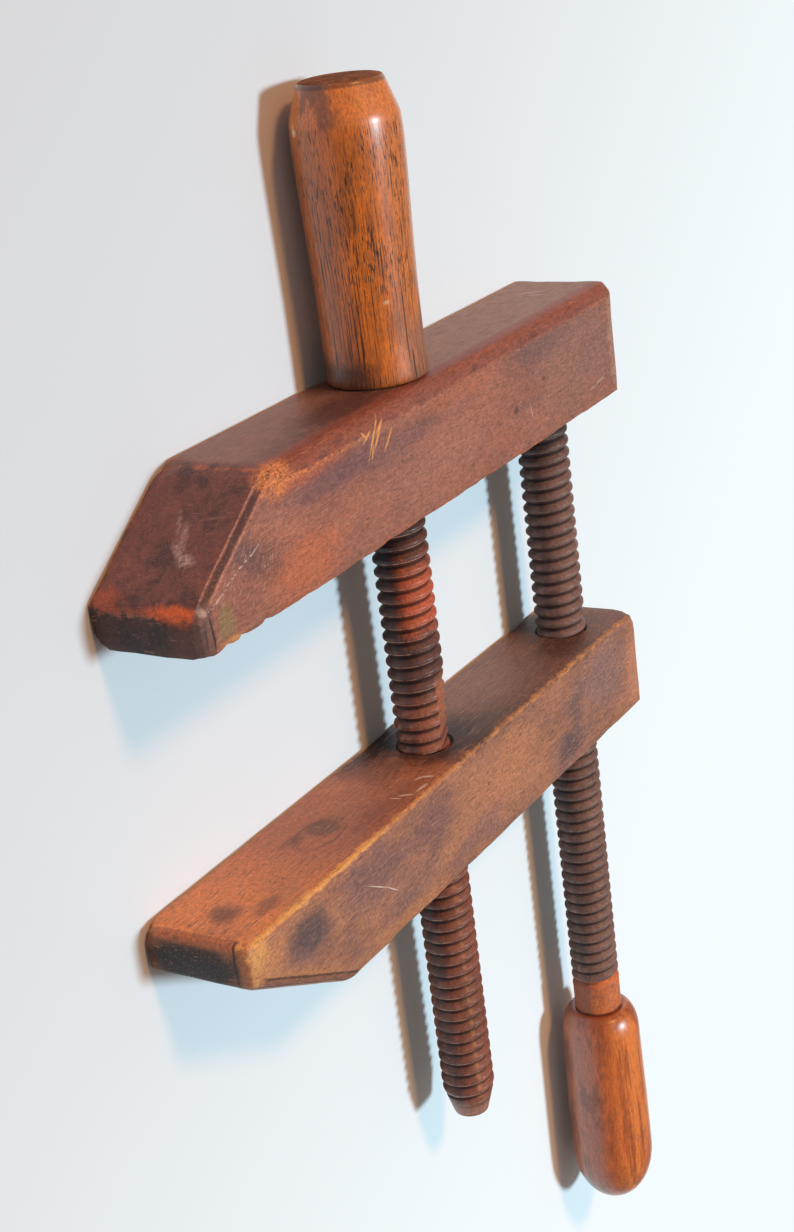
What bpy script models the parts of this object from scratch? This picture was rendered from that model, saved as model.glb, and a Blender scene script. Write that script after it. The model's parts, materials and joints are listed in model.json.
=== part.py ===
"""Wooden handscrew clamp: two jaws drawn together by two turned wooden screws.

Run with: blender --background --python part.py
The clamp lies flat on a surface. X runs along the jaws from their noses, Y runs along the screws,
Z is up, and the origin is at the middle of the whole clamp's footprint. Sizes are in metres.
"""

import math

import bmesh
import bpy
from mathutils import Matrix, Vector

# Jaws. The plain jaw has clearance holes, the threaded jaw is tapped for both screws.
JAW_LENGTH = 0.246
JAW_THICKNESS = 0.036
PLAIN_JAW_HEIGHT = 0.039
THREADED_JAW_HEIGHT = 0.036
JAW_OPENING = 0.080
NOSE_LEAD = 0.003  # how far the threaded jaw's nose stands ahead of the plain jaw's
PLAIN_NOSE_HEIGHT = 0.013
THREADED_NOSE_HEIGHT = 0.0135
PLAIN_BEVEL_LENGTH = 0.038
THREADED_BEVEL_LENGTH = 0.0435
EDGE_ROUNDING = 0.0012
END_SCREW_FROM_REAR = 0.0262  # from the end screw's axis to the plain jaw's rear end
SCREW_SPACING = 0.0973
BLIND_HOLE_DEPTH = 0.0225
MOUTH_CHAMFER = 0.0008

# Screws. Both are alike: tenon, plain neck, right-hand thread and a tapered tip.
SCREW_DIAMETER = 0.0177
SCREW_LENGTH = 0.257  # from the handle's base to the tip
THREAD_PITCH = 0.004233  # six threads to the inch
CREST_SHARE = 0.25  # of the pitch, left flat on the crest
THREAD_HALF_ANGLE = math.radians(45)
NECK_LENGTH = 0.0111
NECK_UNDERSIZE = 0.0001  # the neck's radius below the thread's crests
TIP_LENGTH = 0.0114
TIP_END_DIAMETER = 0.0112
TIP_ROUNDING = 0.0016
TENON_DIAMETER = 0.0135
TENON_LENGTH = 0.045

# Handles, turned to two patterns.
MIDDLE_HANDLE_LENGTH = 0.0870
MIDDLE_HANDLE_BASE_DIAMETER = 0.0306
MIDDLE_HANDLE_WAIST_DIAMETER = 0.0300
MIDDLE_HANDLE_WAIST_FROM_BASE = 0.014
MIDDLE_HANDLE_SWELL_DIAMETER = 0.0324
MIDDLE_HANDLE_SWELL_FROM_END = 0.0150
MIDDLE_HANDLE_END_DIAMETER = 0.0240
MIDDLE_HANDLE_CHAMFER_LENGTH = 0.0105
MIDDLE_HANDLE_RINGS = 7
END_HANDLE_LENGTH = 0.0855
END_HANDLE_SHOULDER_DIAMETER = 0.0293
END_HANDLE_SWELL_DIAMETER = 0.0309
END_HANDLE_SHOULDER_LENGTH = 0.0105
END_HANDLE_ROUND_LENGTH = 0.0225
CREASE_WIDTH = 0.0008  # the step between the neck and the end handle's shoulder

# Clearances.
THREAD_CLEARANCE = 0.00035
PLAIN_HOLE_CLEARANCE = 0.0006
SEAT_GAP = 0.0003
GLUE_GAP = 0.0003

# Facets.
THREAD_STEPS = 15
HANDLE_STEPS = 20
HOLE_STEPS = 24
SHOULDER_RINGS = 5
ROUND_END_RINGS = 6
OVERSHOOT = 0.002  # how far a cutter passes the face that it opens
SPARE_TURNS = 2  # of a threaded rod, past each end that is cut
ROUNDED_ABOVE = math.radians(20)  # only edges sharper than this are rounded
MERGE_DISTANCE = 1e-6

# Derived sizes.
SCREW_RADIUS = SCREW_DIAMETER / 2
CREST_WIDTH = CREST_SHARE * THREAD_PITCH
FLANK_WIDTH = (THREAD_PITCH - CREST_WIDTH) / 2
THREAD_DEPTH = FLANK_WIDTH / math.tan(THREAD_HALF_ANGLE)
ROOT_RADIUS = SCREW_RADIUS - THREAD_DEPTH
TENON_RADIUS = TENON_DIAMETER / 2
HOLE_RADIUS = SCREW_RADIUS + PLAIN_HOLE_CLEARANCE
THREADED_NOSE_X = -NOSE_LEAD
END_SCREW_X = JAW_LENGTH - END_SCREW_FROM_REAR
MIDDLE_SCREW_X = END_SCREW_X - SCREW_SPACING
MIDDLE_BASE_Y = JAW_OPENING + PLAIN_JAW_HEIGHT + SEAT_GAP
END_BASE_Y = JAW_OPENING + BLIND_HOLE_DEPTH - SEAT_GAP - SCREW_LENGTH
TOP_Y = MIDDLE_BASE_Y + MIDDLE_HANDLE_LENGTH
BOTTOM_Y = END_BASE_Y - END_HANDLE_LENGTH
FOOTPRINT_CENTRE = Vector(((THREADED_NOSE_X + JAW_LENGTH) / 2, (TOP_Y + BOTTOM_Y) / 2, 0))
AXIS_HEIGHT = JAW_THICKNESS / 2
TIP_UP = Matrix()
TIP_DOWN = Matrix.Rotation(math.pi, 4, "Z")

# Wood colours: base colour and roughness.
WOODS = {
    "plain_jaw": ((0.110, 0.034, 0.016), 0.55),
    "threaded_jaw": ((0.200, 0.080, 0.030), 0.60),
    "middle_screw": ((0.120, 0.045, 0.020), 0.50),
    "end_screw": ((0.100, 0.050, 0.028), 0.55),
    "middle_handle": ((0.420, 0.190, 0.045), 0.32),
    "end_handle": ((0.380, 0.130, 0.035), 0.32),
}


def clear_scene():
    for item in list(bpy.data.objects):
        bpy.data.objects.remove(item, do_unlink=True)


def wood(name):
    colour, roughness = WOODS[name]
    material = bpy.data.materials.new(name)
    material.use_nodes = True
    shader = material.node_tree.nodes["Principled BSDF"]
    shader.inputs["Base Color"].default_value = (*colour, 1)
    shader.inputs["Roughness"].default_value = roughness
    shader.inputs["Metallic"].default_value = 0
    return material


def add_object(name, mesh, parent, location, turn=Matrix()):
    """Link a mesh as an object, placed in its parent's space."""
    item = bpy.data.objects.new(name, mesh)
    bpy.context.scene.collection.objects.link(item)
    item.parent = parent
    item.matrix_basis = Matrix.Translation(location) @ turn
    return item


def add_empty(name, location):
    empty = bpy.data.objects.new(name, None)
    bpy.context.scene.collection.objects.link(empty)
    empty.location = location
    return empty


def finish_mesh(bm, name):
    bmesh.ops.remove_doubles(bm, verts=bm.verts, dist=MERGE_DISTANCE)
    bmesh.ops.recalc_face_normals(bm, faces=bm.faces)
    mesh = bpy.data.meshes.new(name)
    bm.to_mesh(mesh)
    bm.free()
    return mesh


def add_path(bm, outline):
    """A chain of edges through (distance along Y, radius) points, in the XY plane."""
    verts = [bm.verts.new((radius, along, 0)) for along, radius in outline]
    return verts + [bm.edges.new(pair) for pair in zip(verts, verts[1:])]


def lathe(name, outline, steps):
    """A solid turned about the Y axis; the outline starts and ends on the axis."""
    bm = bmesh.new()
    path = add_path(bm, outline)
    bmesh.ops.spin(bm, geom=path, cent=(0, 0, 0), axis=(0, 1, 0), angle=2 * math.pi, steps=steps,
                   use_merge=True)
    return finish_mesh(bm, name)


def quarter_ellipse(centre, length, radius, start, end, count):
    """Points (along, radius) on an ellipse about centre, from angle start to angle end."""
    angles = [start + (end - start) * i / count for i in range(count + 1)]
    return [(centre + length * math.cos(a), radius * math.sin(a)) for a in angles]


def threaded_rod(name, first_turn, turns, clearance):
    """A right-hand threaded rod along +Y from the end of the neck, counted in whole turns.

    The clearance widens every radius, for the tap that cuts the jaw's thread.
    """
    start = NECK_LENGTH + first_turn * THREAD_PITCH
    root = ROOT_RADIUS + clearance
    crest = SCREW_RADIUS + clearance
    profile = [
        (start, root),
        (start + FLANK_WIDTH, crest),
        (start + FLANK_WIDTH + CREST_WIDTH, crest),
        (start + THREAD_PITCH, root),
    ]
    bm = bmesh.new()
    path = add_path(bm, profile)
    bmesh.ops.spin(bm, geom=path, cent=(0, 0, 0), axis=(0, 1, 0), angle=2 * math.pi * turns,
                   dvec=(0, THREAD_PITCH / THREAD_STEPS, 0), steps=THREAD_STEPS * turns)
    bmesh.ops.remove_doubles(bm, verts=bm.verts, dist=MERGE_DISTANCE)
    rims = [edge for edge in bm.edges if edge.is_boundary]
    ends = bmesh.ops.holes_fill(bm, edges=rims)["faces"]
    bmesh.ops.poke(bm, faces=ends)
    return finish_mesh(bm, name)


def add_cutter(name, mesh, parent, location, turn=Matrix()):
    cutter = add_object(name, mesh, parent, location, turn)
    cutter.display_type = "WIRE"
    cutter.hide_render = True
    return cutter


def combine(item, other, operation):
    """Join or cut with another object, which is then only a tool."""
    modifier = item.modifiers.new(f"{operation.title()} {other.name}", "BOOLEAN")
    modifier.operation = operation
    modifier.object = other
    modifier.solver = "EXACT"


def jaw_blank(name, height, nose_height, bevel_length):
    """A jaw with its gripping face at y = 0, its nose at x = 0 and its outer side towards +Y."""
    outline = [
        (0, 0),
        (JAW_LENGTH, 0),
        (JAW_LENGTH, height),
        (bevel_length, height),
        (0, nose_height),
    ]
    bm = bmesh.new()
    face = bm.faces.new([bm.verts.new((x, y, -JAW_THICKNESS / 2)) for x, y in outline])
    side = bmesh.ops.extrude_face_region(bm, geom=[face])["geom"]
    raised = [vert for vert in side if isinstance(vert, bmesh.types.BMVert)]
    bmesh.ops.translate(bm, verts=raised, vec=(0, 0, JAW_THICKNESS))
    return finish_mesh(bm, name)


def soften_edges(item):
    bevel = item.modifiers.new("Worn edges", "BEVEL")
    bevel.width = EDGE_ROUNDING
    bevel.segments = 2
    bevel.limit_method = "ANGLE"
    bevel.angle_limit = ROUNDED_ABOVE


def hole_outline(depth, through):
    """A plain hole from a chamfered mouth at y = 0, as (along, radius) points."""
    mouth = HOLE_RADIUS + MOUTH_CHAMFER
    outline = [(-OVERSHOOT, 0), (-OVERSHOOT, mouth), (0, mouth), (MOUTH_CHAMFER, HOLE_RADIUS)]
    if through:
        outline += [(depth - MOUTH_CHAMFER, HOLE_RADIUS), (depth, mouth)]
        outline += [(depth + OVERSHOOT, mouth), (depth + OVERSHOOT, 0)]
    else:
        outline += [(depth, HOLE_RADIUS), (depth, 0)]
    return outline


def build_plain_jaw(frame):
    """The jaw that the middle screw passes through and the end screw's tip bears in."""
    mesh = jaw_blank("plain_jaw", PLAIN_JAW_HEIGHT, PLAIN_NOSE_HEIGHT, PLAIN_BEVEL_LENGTH)
    jaw = add_object("plain_jaw", mesh, frame, (0, JAW_OPENING, AXIS_HEIGHT))
    jaw.data.materials.append(wood("plain_jaw"))
    soften_edges(jaw)
    through = lathe("middle_hole", hole_outline(PLAIN_JAW_HEIGHT, True), HOLE_STEPS)
    blind = lathe("end_hole", hole_outline(BLIND_HOLE_DEPTH, False), HOLE_STEPS)
    combine(jaw, add_cutter("cut_middle_hole", through, jaw, (MIDDLE_SCREW_X, 0, 0)), "DIFFERENCE")
    combine(jaw, add_cutter("cut_end_hole", blind, jaw, (END_SCREW_X, 0, 0)), "DIFFERENCE")
    return jaw


def tap(name, near_face):
    """The tap for one hole of the threaded jaw, in phase with its screw and in the screw's space.

    near_face is the distance from the screw's base to the jaw face that it meets first.
    """
    first_turn = math.floor((near_face - NECK_LENGTH) / THREAD_PITCH) - SPARE_TURNS
    turns = math.ceil(THREADED_JAW_HEIGHT / THREAD_PITCH) + 2 * SPARE_TURNS
    return threaded_rod(name, first_turn, turns, THREAD_CLEARANCE)


def mouth_outline(depth):
    """Two cones, one on each face of the jaw, that open the mouths of a tapped hole."""
    wide = SCREW_RADIUS + THREAD_CLEARANCE + MOUTH_CHAMFER
    narrow = ROOT_RADIUS
    slope = wide - narrow
    return [
        (-OVERSHOOT, 0),
        (-OVERSHOOT, wide),
        (0, wide),
        (slope, narrow),
        (depth - slope, narrow),
        (depth, wide),
        (depth + OVERSHOOT, wide),
        (depth + OVERSHOOT, 0),
    ]


def build_threaded_jaw(frame):
    """The jaw whose two tapped holes ride on the screws."""
    flip = Matrix.Rotation(math.pi, 4, "X")
    mesh = jaw_blank("threaded_jaw", THREADED_JAW_HEIGHT, THREADED_NOSE_HEIGHT, THREADED_BEVEL_LENGTH)
    jaw = add_object("threaded_jaw", mesh, frame, (THREADED_NOSE_X, 0, AXIS_HEIGHT), flip)
    jaw.data.materials.append(wood("threaded_jaw"))
    soften_edges(jaw)
    mouths = lathe("mouths", mouth_outline(THREADED_JAW_HEIGHT), THREAD_STEPS)
    holes = [
        ("middle", MIDDLE_SCREW_X, MIDDLE_BASE_Y, MIDDLE_BASE_Y, TIP_DOWN),
        ("end", END_SCREW_X, END_BASE_Y, -THREADED_JAW_HEIGHT - END_BASE_Y, TIP_UP),
    ]
    for name, x, base, near_face, turn in holes:
        opening = add_cutter(f"cut_{name}_mouths", mouths, frame, (x, -THREADED_JAW_HEIGHT, AXIS_HEIGHT))
        combine(jaw, opening, "DIFFERENCE")
        thread = tap(f"{name}_tap", near_face)
        cutter = add_cutter(f"cut_{name}_thread", thread, frame, (x, base, AXIS_HEIGHT), turn)
        combine(jaw, cutter, "DIFFERENCE")
    return jaw


def build_screw(name, axis, turn):
    """One wooden screw, with its handle's base at the origin and its tip towards its own +Y."""
    turns = math.ceil((SCREW_LENGTH - NECK_LENGTH) / THREAD_PITCH) + 2 * SPARE_TURNS
    rod = threaded_rod(name, -SPARE_TURNS, turns, 0)
    screw = add_object(name, rod, axis, (0, 0, 0), turn)
    screw.data.materials.append(wood(name))

    beyond = SCREW_RADIUS + OVERSHOOT
    end_radius = TIP_END_DIAMETER / 2
    taper = (SCREW_RADIUS - end_radius) / TIP_LENGTH
    envelope_outline = [
        (NECK_LENGTH - OVERSHOOT / 2, 0),
        (NECK_LENGTH - OVERSHOOT / 2, beyond),
        (SCREW_LENGTH - TIP_LENGTH - OVERSHOOT / taper, beyond),
        (SCREW_LENGTH - TIP_ROUNDING, end_radius + TIP_ROUNDING * taper),
        (SCREW_LENGTH - TIP_ROUNDING / 4, end_radius - TIP_ROUNDING / 4),
        (SCREW_LENGTH, end_radius - TIP_ROUNDING),
        (SCREW_LENGTH, 0),
    ]
    envelope = lathe(f"{name}_envelope", envelope_outline, THREAD_STEPS)
    combine(screw, add_cutter(f"trim_{name}", envelope, screw, (0, 0, 0)), "INTERSECT")

    neck_radius = SCREW_RADIUS - NECK_UNDERSIZE
    stem_outline = [
        (-TENON_LENGTH, 0),
        (-TENON_LENGTH, TENON_RADIUS),
        (GLUE_GAP, TENON_RADIUS),
        (GLUE_GAP, neck_radius),
        (NECK_LENGTH, neck_radius),
        (NECK_LENGTH + THREAD_DEPTH, ROOT_RADIUS - NECK_UNDERSIZE),
        (NECK_LENGTH + THREAD_DEPTH, 0),
    ]
    stem = lathe(f"{name}_stem", stem_outline, THREAD_STEPS)
    combine(screw, add_cutter(f"join_{name}_stem", stem, screw, (0, 0, 0)), "UNION")
    return screw


def bored_handle(name, outline, axis, turn):
    """A handle whose outer outline runs from its base at 0 away from the screw, towards -Y."""
    bore = TENON_RADIUS + GLUE_GAP
    depth = -TENON_LENGTH - GLUE_GAP
    socket = [(depth, 0), (depth, bore), (0, bore)]
    outer = [(-along, radius) for along, radius in outline]
    handle = add_object(name, lathe(name, socket + outer, HANDLE_STEPS), axis, (0, 0, 0), turn)
    handle.data.materials.append(wood(name))
    return handle


def middle_handle_outline():
    """A barrel: flat base, slight waist, swell, then a cone to the flat end."""
    base = MIDDLE_HANDLE_BASE_DIAMETER / 2
    waist = MIDDLE_HANDLE_WAIST_DIAMETER / 2
    swell = MIDDLE_HANDLE_SWELL_DIAMETER / 2
    end = MIDDLE_HANDLE_END_DIAMETER / 2
    swell_at = MIDDLE_HANDLE_LENGTH - MIDDLE_HANDLE_SWELL_FROM_END
    body = swell_at - MIDDLE_HANDLE_WAIST_FROM_BASE
    outline = [(0, base - EDGE_ROUNDING), (EDGE_ROUNDING, base)]
    for i in range(MIDDLE_HANDLE_RINGS + 1):
        share = i / MIDDLE_HANDLE_RINGS
        ease = (1 - math.cos(math.pi * share)) / 2
        along = MIDDLE_HANDLE_WAIST_FROM_BASE + body * share
        outline.append((along, waist + (swell - waist) * ease))
    outline += [
        (MIDDLE_HANDLE_LENGTH - MIDDLE_HANDLE_CHAMFER_LENGTH, swell - EDGE_ROUNDING / 2),
        (MIDDLE_HANDLE_LENGTH - EDGE_ROUNDING / 2, end + EDGE_ROUNDING / 2),
        (MIDDLE_HANDLE_LENGTH, end - EDGE_ROUNDING / 2),
        (MIDDLE_HANDLE_LENGTH, 0),
    ]
    return outline


def end_handle_outline():
    """A bottle: a rounded shoulder at the neck, a long gentle swell and a rounded end."""
    shoulder = END_HANDLE_SHOULDER_DIAMETER / 2
    swell = END_HANDLE_SWELL_DIAMETER / 2
    crease = SCREW_RADIUS + CREASE_WIDTH
    rise = shoulder - crease
    outline = [
        (along, crease + radius)
        for along, radius in quarter_ellipse(
            END_HANDLE_SHOULDER_LENGTH, -END_HANDLE_SHOULDER_LENGTH, rise, 0, math.pi / 2,
            SHOULDER_RINGS)
    ]
    body_end = END_HANDLE_LENGTH - END_HANDLE_ROUND_LENGTH
    middle = (END_HANDLE_SHOULDER_LENGTH + body_end) / 2
    outline.append((middle, (shoulder + swell) / 2))
    outline += quarter_ellipse(body_end, END_HANDLE_ROUND_LENGTH, swell, math.pi / 2, 0, ROUND_END_RINGS)
    return outline


def main():
    clear_scene()
    frame = add_empty("clamp_frame", -FOOTPRINT_CENTRE)
    build_plain_jaw(frame)
    build_threaded_jaw(frame)
    middle_axis = add_empty("middle_screw_axis", Vector((MIDDLE_SCREW_X, MIDDLE_BASE_Y, AXIS_HEIGHT)))
    end_axis = add_empty("end_screw_axis", Vector((END_SCREW_X, END_BASE_Y, AXIS_HEIGHT)))
    for axis in (middle_axis, end_axis):
        axis.parent = frame
    build_screw("middle_screw", middle_axis, TIP_DOWN)
    build_screw("end_screw", end_axis, TIP_UP)
    bored_handle("middle_handle", middle_handle_outline(), middle_axis, TIP_DOWN)
    bored_handle("end_handle", end_handle_outline(), end_axis, TIP_UP)


main()
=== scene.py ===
"""Old wooden handscrew clamp, lying on a pale floor in soft studio light.

Two long jaws with bevelled noses are drawn together by two turned wooden screws. The middle screw's
barrel handle stands beyond the plain jaw, and the end screw's bottle handle beyond the threaded jaw. X
runs along the jaws, Y along the screws and Z up from the floor. Sizes are in metres. Stains, marks,
painted light and shade, and knocks are placed in millimetres, and their colours are given as the 0 to
255 values that a screen shows.
"""

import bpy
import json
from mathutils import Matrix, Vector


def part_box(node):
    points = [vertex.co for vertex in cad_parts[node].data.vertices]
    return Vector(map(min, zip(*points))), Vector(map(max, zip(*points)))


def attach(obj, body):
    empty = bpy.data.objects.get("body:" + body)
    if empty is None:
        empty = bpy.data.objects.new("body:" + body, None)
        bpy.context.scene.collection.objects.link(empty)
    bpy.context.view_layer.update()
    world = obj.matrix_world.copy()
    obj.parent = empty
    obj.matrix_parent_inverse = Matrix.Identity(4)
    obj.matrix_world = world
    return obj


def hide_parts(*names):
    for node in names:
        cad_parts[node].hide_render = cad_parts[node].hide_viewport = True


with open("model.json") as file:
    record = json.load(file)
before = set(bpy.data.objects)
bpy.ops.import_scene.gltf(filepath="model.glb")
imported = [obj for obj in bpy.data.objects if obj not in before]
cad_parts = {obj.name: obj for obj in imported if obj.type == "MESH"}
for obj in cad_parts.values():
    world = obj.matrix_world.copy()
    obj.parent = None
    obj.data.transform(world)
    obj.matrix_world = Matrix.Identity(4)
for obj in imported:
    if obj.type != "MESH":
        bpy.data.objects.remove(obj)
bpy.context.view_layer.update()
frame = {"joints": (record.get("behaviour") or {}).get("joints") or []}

import json
import math

import bmesh
import bpy
from bpy.props import FloatProperty, FloatVectorProperty, IntProperty, PointerProperty
from bpy.types import Operator, Panel, PropertyGroup
from mathutils import Euler, Vector

bl_info = {
    "name": "Wooden handscrew clamp",
    "version": (1, 0, 0),
    "blender": (4, 5, 0),
    "location": "3D View > Sidebar > Handscrew",
    "description": "Builds an old wooden handscrew clamp and the studio that it is shown in",
    "category": "Object",
}

MM = 0.001
MERGE_DISTANCE = 1e-6
NEAR = 0.0002  # how far off its place an edge may lie and still be the one that is looked for
ALONG_X = (True, False, False)
ALONG_Y = (False, True, False)

plain_low, plain_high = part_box("plain_jaw")
threaded_low, threaded_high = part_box("threaded_jaw")
joint_places = {joint["name"]: Vector(joint["pos_m"]) for joint in frame["joints"] if "pos_m" in joint}


def tone(red, green, blue):
    """A colour as Blender wants it, from the 0 to 255 values that a screen shows."""
    return tuple(
        (part / 255 / 12.92) if part <= 10 else ((part / 255 + 0.055) / 1.055) ** 2.4
        for part in (red, green, blue)
    )


# ---------------------------------------------------------------------------------------------------
# Settings that a user would change


class JawSettings(PropertyGroup):
    plain_nose_height: FloatProperty(
        name="Plain nose height", description="Height of the plain jaw's blunt nose", default=0.013,
        unit="LENGTH")
    threaded_nose_height: FloatProperty(
        name="Threaded nose height", description="Height of the threaded jaw's blunt nose",
        default=0.0135, unit="LENGTH")
    plain_bevel_length: FloatProperty(
        name="Plain bevel length", description="How far the plain jaw's bevel reaches back",
        default=0.038, unit="LENGTH")
    threaded_bevel_length: FloatProperty(
        name="Threaded bevel length", description="How far the threaded jaw's bevel reaches back",
        default=0.0435, unit="LENGTH")
    edge_rounding: FloatProperty(
        name="Edge rounding", description="Radius that use has worn on the long edges", default=0.0013,
        unit="LENGTH")
    edge_wear: FloatProperty(
        name="Edge wear", description="How far the edges dip where they are knocked", default=0.0006,
        unit="LENGTH")
    plain_wood: FloatVectorProperty(
        name="Plain jaw", description="Colour of the plain jaw's wood", default=tone(164, 102, 82),
        size=3, subtype="COLOR", min=0, max=1)
    threaded_wood: FloatVectorProperty(
        name="Threaded jaw", description="Colour of the threaded jaw's wood",
        default=tone(168, 110, 84), size=3, subtype="COLOR", min=0, max=1)


class ScrewSettings(PropertyGroup):
    diameter: FloatProperty(
        name="Diameter", description="Diameter over the crests of the thread", default=0.0177,
        unit="LENGTH")
    pitch: FloatProperty(
        name="Pitch", description="Rise of the thread in one turn", default=0.004233, unit="LENGTH",
        precision=6)
    depth: FloatProperty(
        name="Thread depth", description="From the crests to the roots", default=0.0015874,
        unit="LENGTH", precision=6)
    length: FloatProperty(
        name="Length", description="From the handle's base to the tip", default=0.257, unit="LENGTH")
    neck_length: FloatProperty(
        name="Neck length", description="Plain part between the handle and the thread",
        default=0.0111, unit="LENGTH")
    steps: IntProperty(
        name="Steps", description="Facets in one turn of the thread", default=48, min=16)
    middle_wood: FloatVectorProperty(
        name="Middle screw", description="Colour of the middle screw's wood",
        default=tone(136, 78, 60), size=3, subtype="COLOR", min=0, max=1)
    end_wood: FloatVectorProperty(
        name="End screw", description="Colour of the end screw's wood", default=tone(126, 92, 82),
        size=3, subtype="COLOR", min=0, max=1)


class HandleSettings(PropertyGroup):
    middle_length: FloatProperty(
        name="Barrel length", description="Length of the middle handle", default=0.0870,
        unit="LENGTH")
    end_length: FloatProperty(
        name="Bottle length", description="Length of the end handle", default=0.0855, unit="LENGTH")
    facets: IntProperty(name="Facets", description="Facets round a handle", default=96, min=24)
    middle_wood: FloatVectorProperty(
        name="Barrel wood", description="Colour of the middle handle's wood",
        default=tone(192, 98, 28), size=3, subtype="COLOR", min=0, max=1)
    end_wood: FloatVectorProperty(
        name="Bottle wood", description="Colour of the end handle's wood",
        default=tone(192, 96, 44), size=3, subtype="COLOR", min=0, max=1)


class StudioSettings(PropertyGroup):
    floor_size: FloatProperty(
        name="Floor size", description="Side of the square floor", default=8, unit="LENGTH")
    floor_colour: FloatVectorProperty(
        name="Floor", description="Colour of the pale floor", default=(0.664, 0.650, 0.664), size=3,
        subtype="COLOR", min=0, max=1)
    # the floor's cooler, lighter side is painted light
    floor_far_colour: FloatVectorProperty(
        name="Cool side", description="Colour of the floor on its cool side",
        default=(0.90, 0.965, 1.0), size=3, subtype="COLOR", min=0, max=1)
    cool_strength: FloatProperty(
        name="Cool light", description="Strength of the light straight above", default=2.48)
    warm_strength: FloatProperty(
        name="Warm light", description="Strength of the light from beyond the barrel handle",
        default=1.16)
    room_strength: FloatProperty(
        name="Room light", description="Strength of the even light from all sides", default=0.24)
    camera_place: FloatVectorProperty(
        name="Camera", description="Where the camera stands", default=(-0.48292, 0.28007, 0.33214),
        size=3, subtype="XYZ", unit="LENGTH")
    camera_turn: FloatVectorProperty(
        name="Camera turn", description="How the camera is turned",
        default=tuple(math.radians(angle) for angle in (-9.42, -58.617, -13.472)), size=3,
        subtype="EULER")
    camera_lens: FloatProperty(
        name="Lens", description="Focal length on a sensor 36 mm long", default=58.48)


# ---------------------------------------------------------------------------------------------------
# Modelling, as by hand


def nothing_selected():
    if bpy.context.mode != "OBJECT":
        bpy.ops.object.mode_set(mode="OBJECT")
    bpy.ops.object.select_all(action="DESELECT")


def take_up(piece):
    """Make a piece the only selected one and the active one."""
    nothing_selected()
    piece.select_set(True)
    bpy.context.view_layer.objects.active = piece


def named(name):
    """Name the object that was just added, and its mesh."""
    piece = bpy.context.active_object
    piece.name = name
    piece.data.name = name
    return piece


def place_in_mesh(piece):
    take_up(piece)
    bpy.ops.object.transform_apply(location=True, rotation=True, scale=True)


def edit_all():
    """Go into edit mode with everything selected."""
    bpy.ops.object.mode_set(mode="EDIT")
    bpy.ops.mesh.select_all(action="SELECT")


def pick(kind, wanted):
    """In edit mode, select the verts or edges that pass a test, and nothing else."""
    mesh = bpy.context.edit_object.data
    bpy.ops.mesh.select_mode(type={"verts": "VERT", "edges": "EDGE"}[kind])
    bpy.ops.mesh.select_all(action="DESELECT")
    shape = bmesh.from_edit_mesh(mesh)
    for item in getattr(shape, kind):
        if wanted(item):
            item.select_set(True)
    shape.select_flush_mode()
    bmesh.update_edit_mesh(mesh)


def tidy_normals(piece):
    """Merge what coincides and turn every face outwards."""
    take_up(piece)
    edit_all()
    bpy.ops.mesh.remove_doubles(threshold=MERGE_DISTANCE)
    bpy.ops.mesh.normals_make_consistent(inside=False)
    bpy.ops.object.mode_set(mode="OBJECT")


def apply_modifiers(piece):
    take_up(piece)
    for name in [modifier.name for modifier in piece.modifiers]:
        bpy.ops.object.modifier_apply(modifier=name)


def carve(piece, tool, operation="DIFFERENCE"):
    """Cut a piece with a tool, or keep or join what they share, and throw the tool away."""
    modifier = piece.modifiers.new("Carve", "BOOLEAN")
    modifier.operation = operation
    modifier.object = tool
    modifier.solver = "EXACT"
    apply_modifiers(piece)
    bpy.data.objects.remove(tool, do_unlink=True)


def smooth(piece, angle):
    take_up(piece)
    bpy.ops.object.shade_smooth_by_angle(angle=math.radians(angle))


class Axis:
    """The line that a screw turns about: distances run from its handle's base towards its tip."""

    def __init__(self, joint, towards):
        self.base = joint_places[joint]
        self.towards = towards

    def at(self, along):
        return self.base + Vector((0, self.towards * along, 0))


MIDDLE_AXIS = Axis("middle_screw_turn", -1)
END_AXIS = Axis("end_screw_turn", 1)

# where the middle screw's crests are rubbed flat, just above the threaded jaw: place and outward normal
RUBBED_TURN = 18
RUBBED_NORMAL = Vector((math.sin(math.radians(RUBBED_TURN)), 0, math.cos(math.radians(RUBBED_TURN))))
RUBBED_FLAT = (
    Vector((MIDDLE_AXIS.base.x, threaded_high.y + 0.0125, MIDDLE_AXIS.base.z)) + RUBBED_NORMAL * 0.0071,
    RUBBED_NORMAL)


def turned(name, axis, outline, facets):
    """A turned solid, from (distance along the axis, radius) pairs."""
    nothing_selected()
    along, radius = outline[0]
    bpy.ops.mesh.primitive_circle_add(
        vertices=facets, radius=radius, fill_type="NGON", location=axis.at(along),
        rotation=(math.pi / 2, 0, 0))
    piece = named(name)
    place_in_mesh(piece)
    bpy.ops.object.mode_set(mode="EDIT")
    bpy.ops.mesh.select_mode(type="FACE")
    bpy.ops.mesh.select_all(action="SELECT")
    for next_along, next_radius in outline[1:]:
        rise = axis.towards * (next_along - along)
        growth = next_radius / radius
        bpy.ops.mesh.extrude_region_move(TRANSFORM_OT_translate={"value": (0, rise, 0)})
        bpy.ops.transform.resize(value=(growth, 1, growth), center_override=axis.at(next_along))
        along, radius = next_along, next_radius
    tidy_normals(piece)
    return piece


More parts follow.
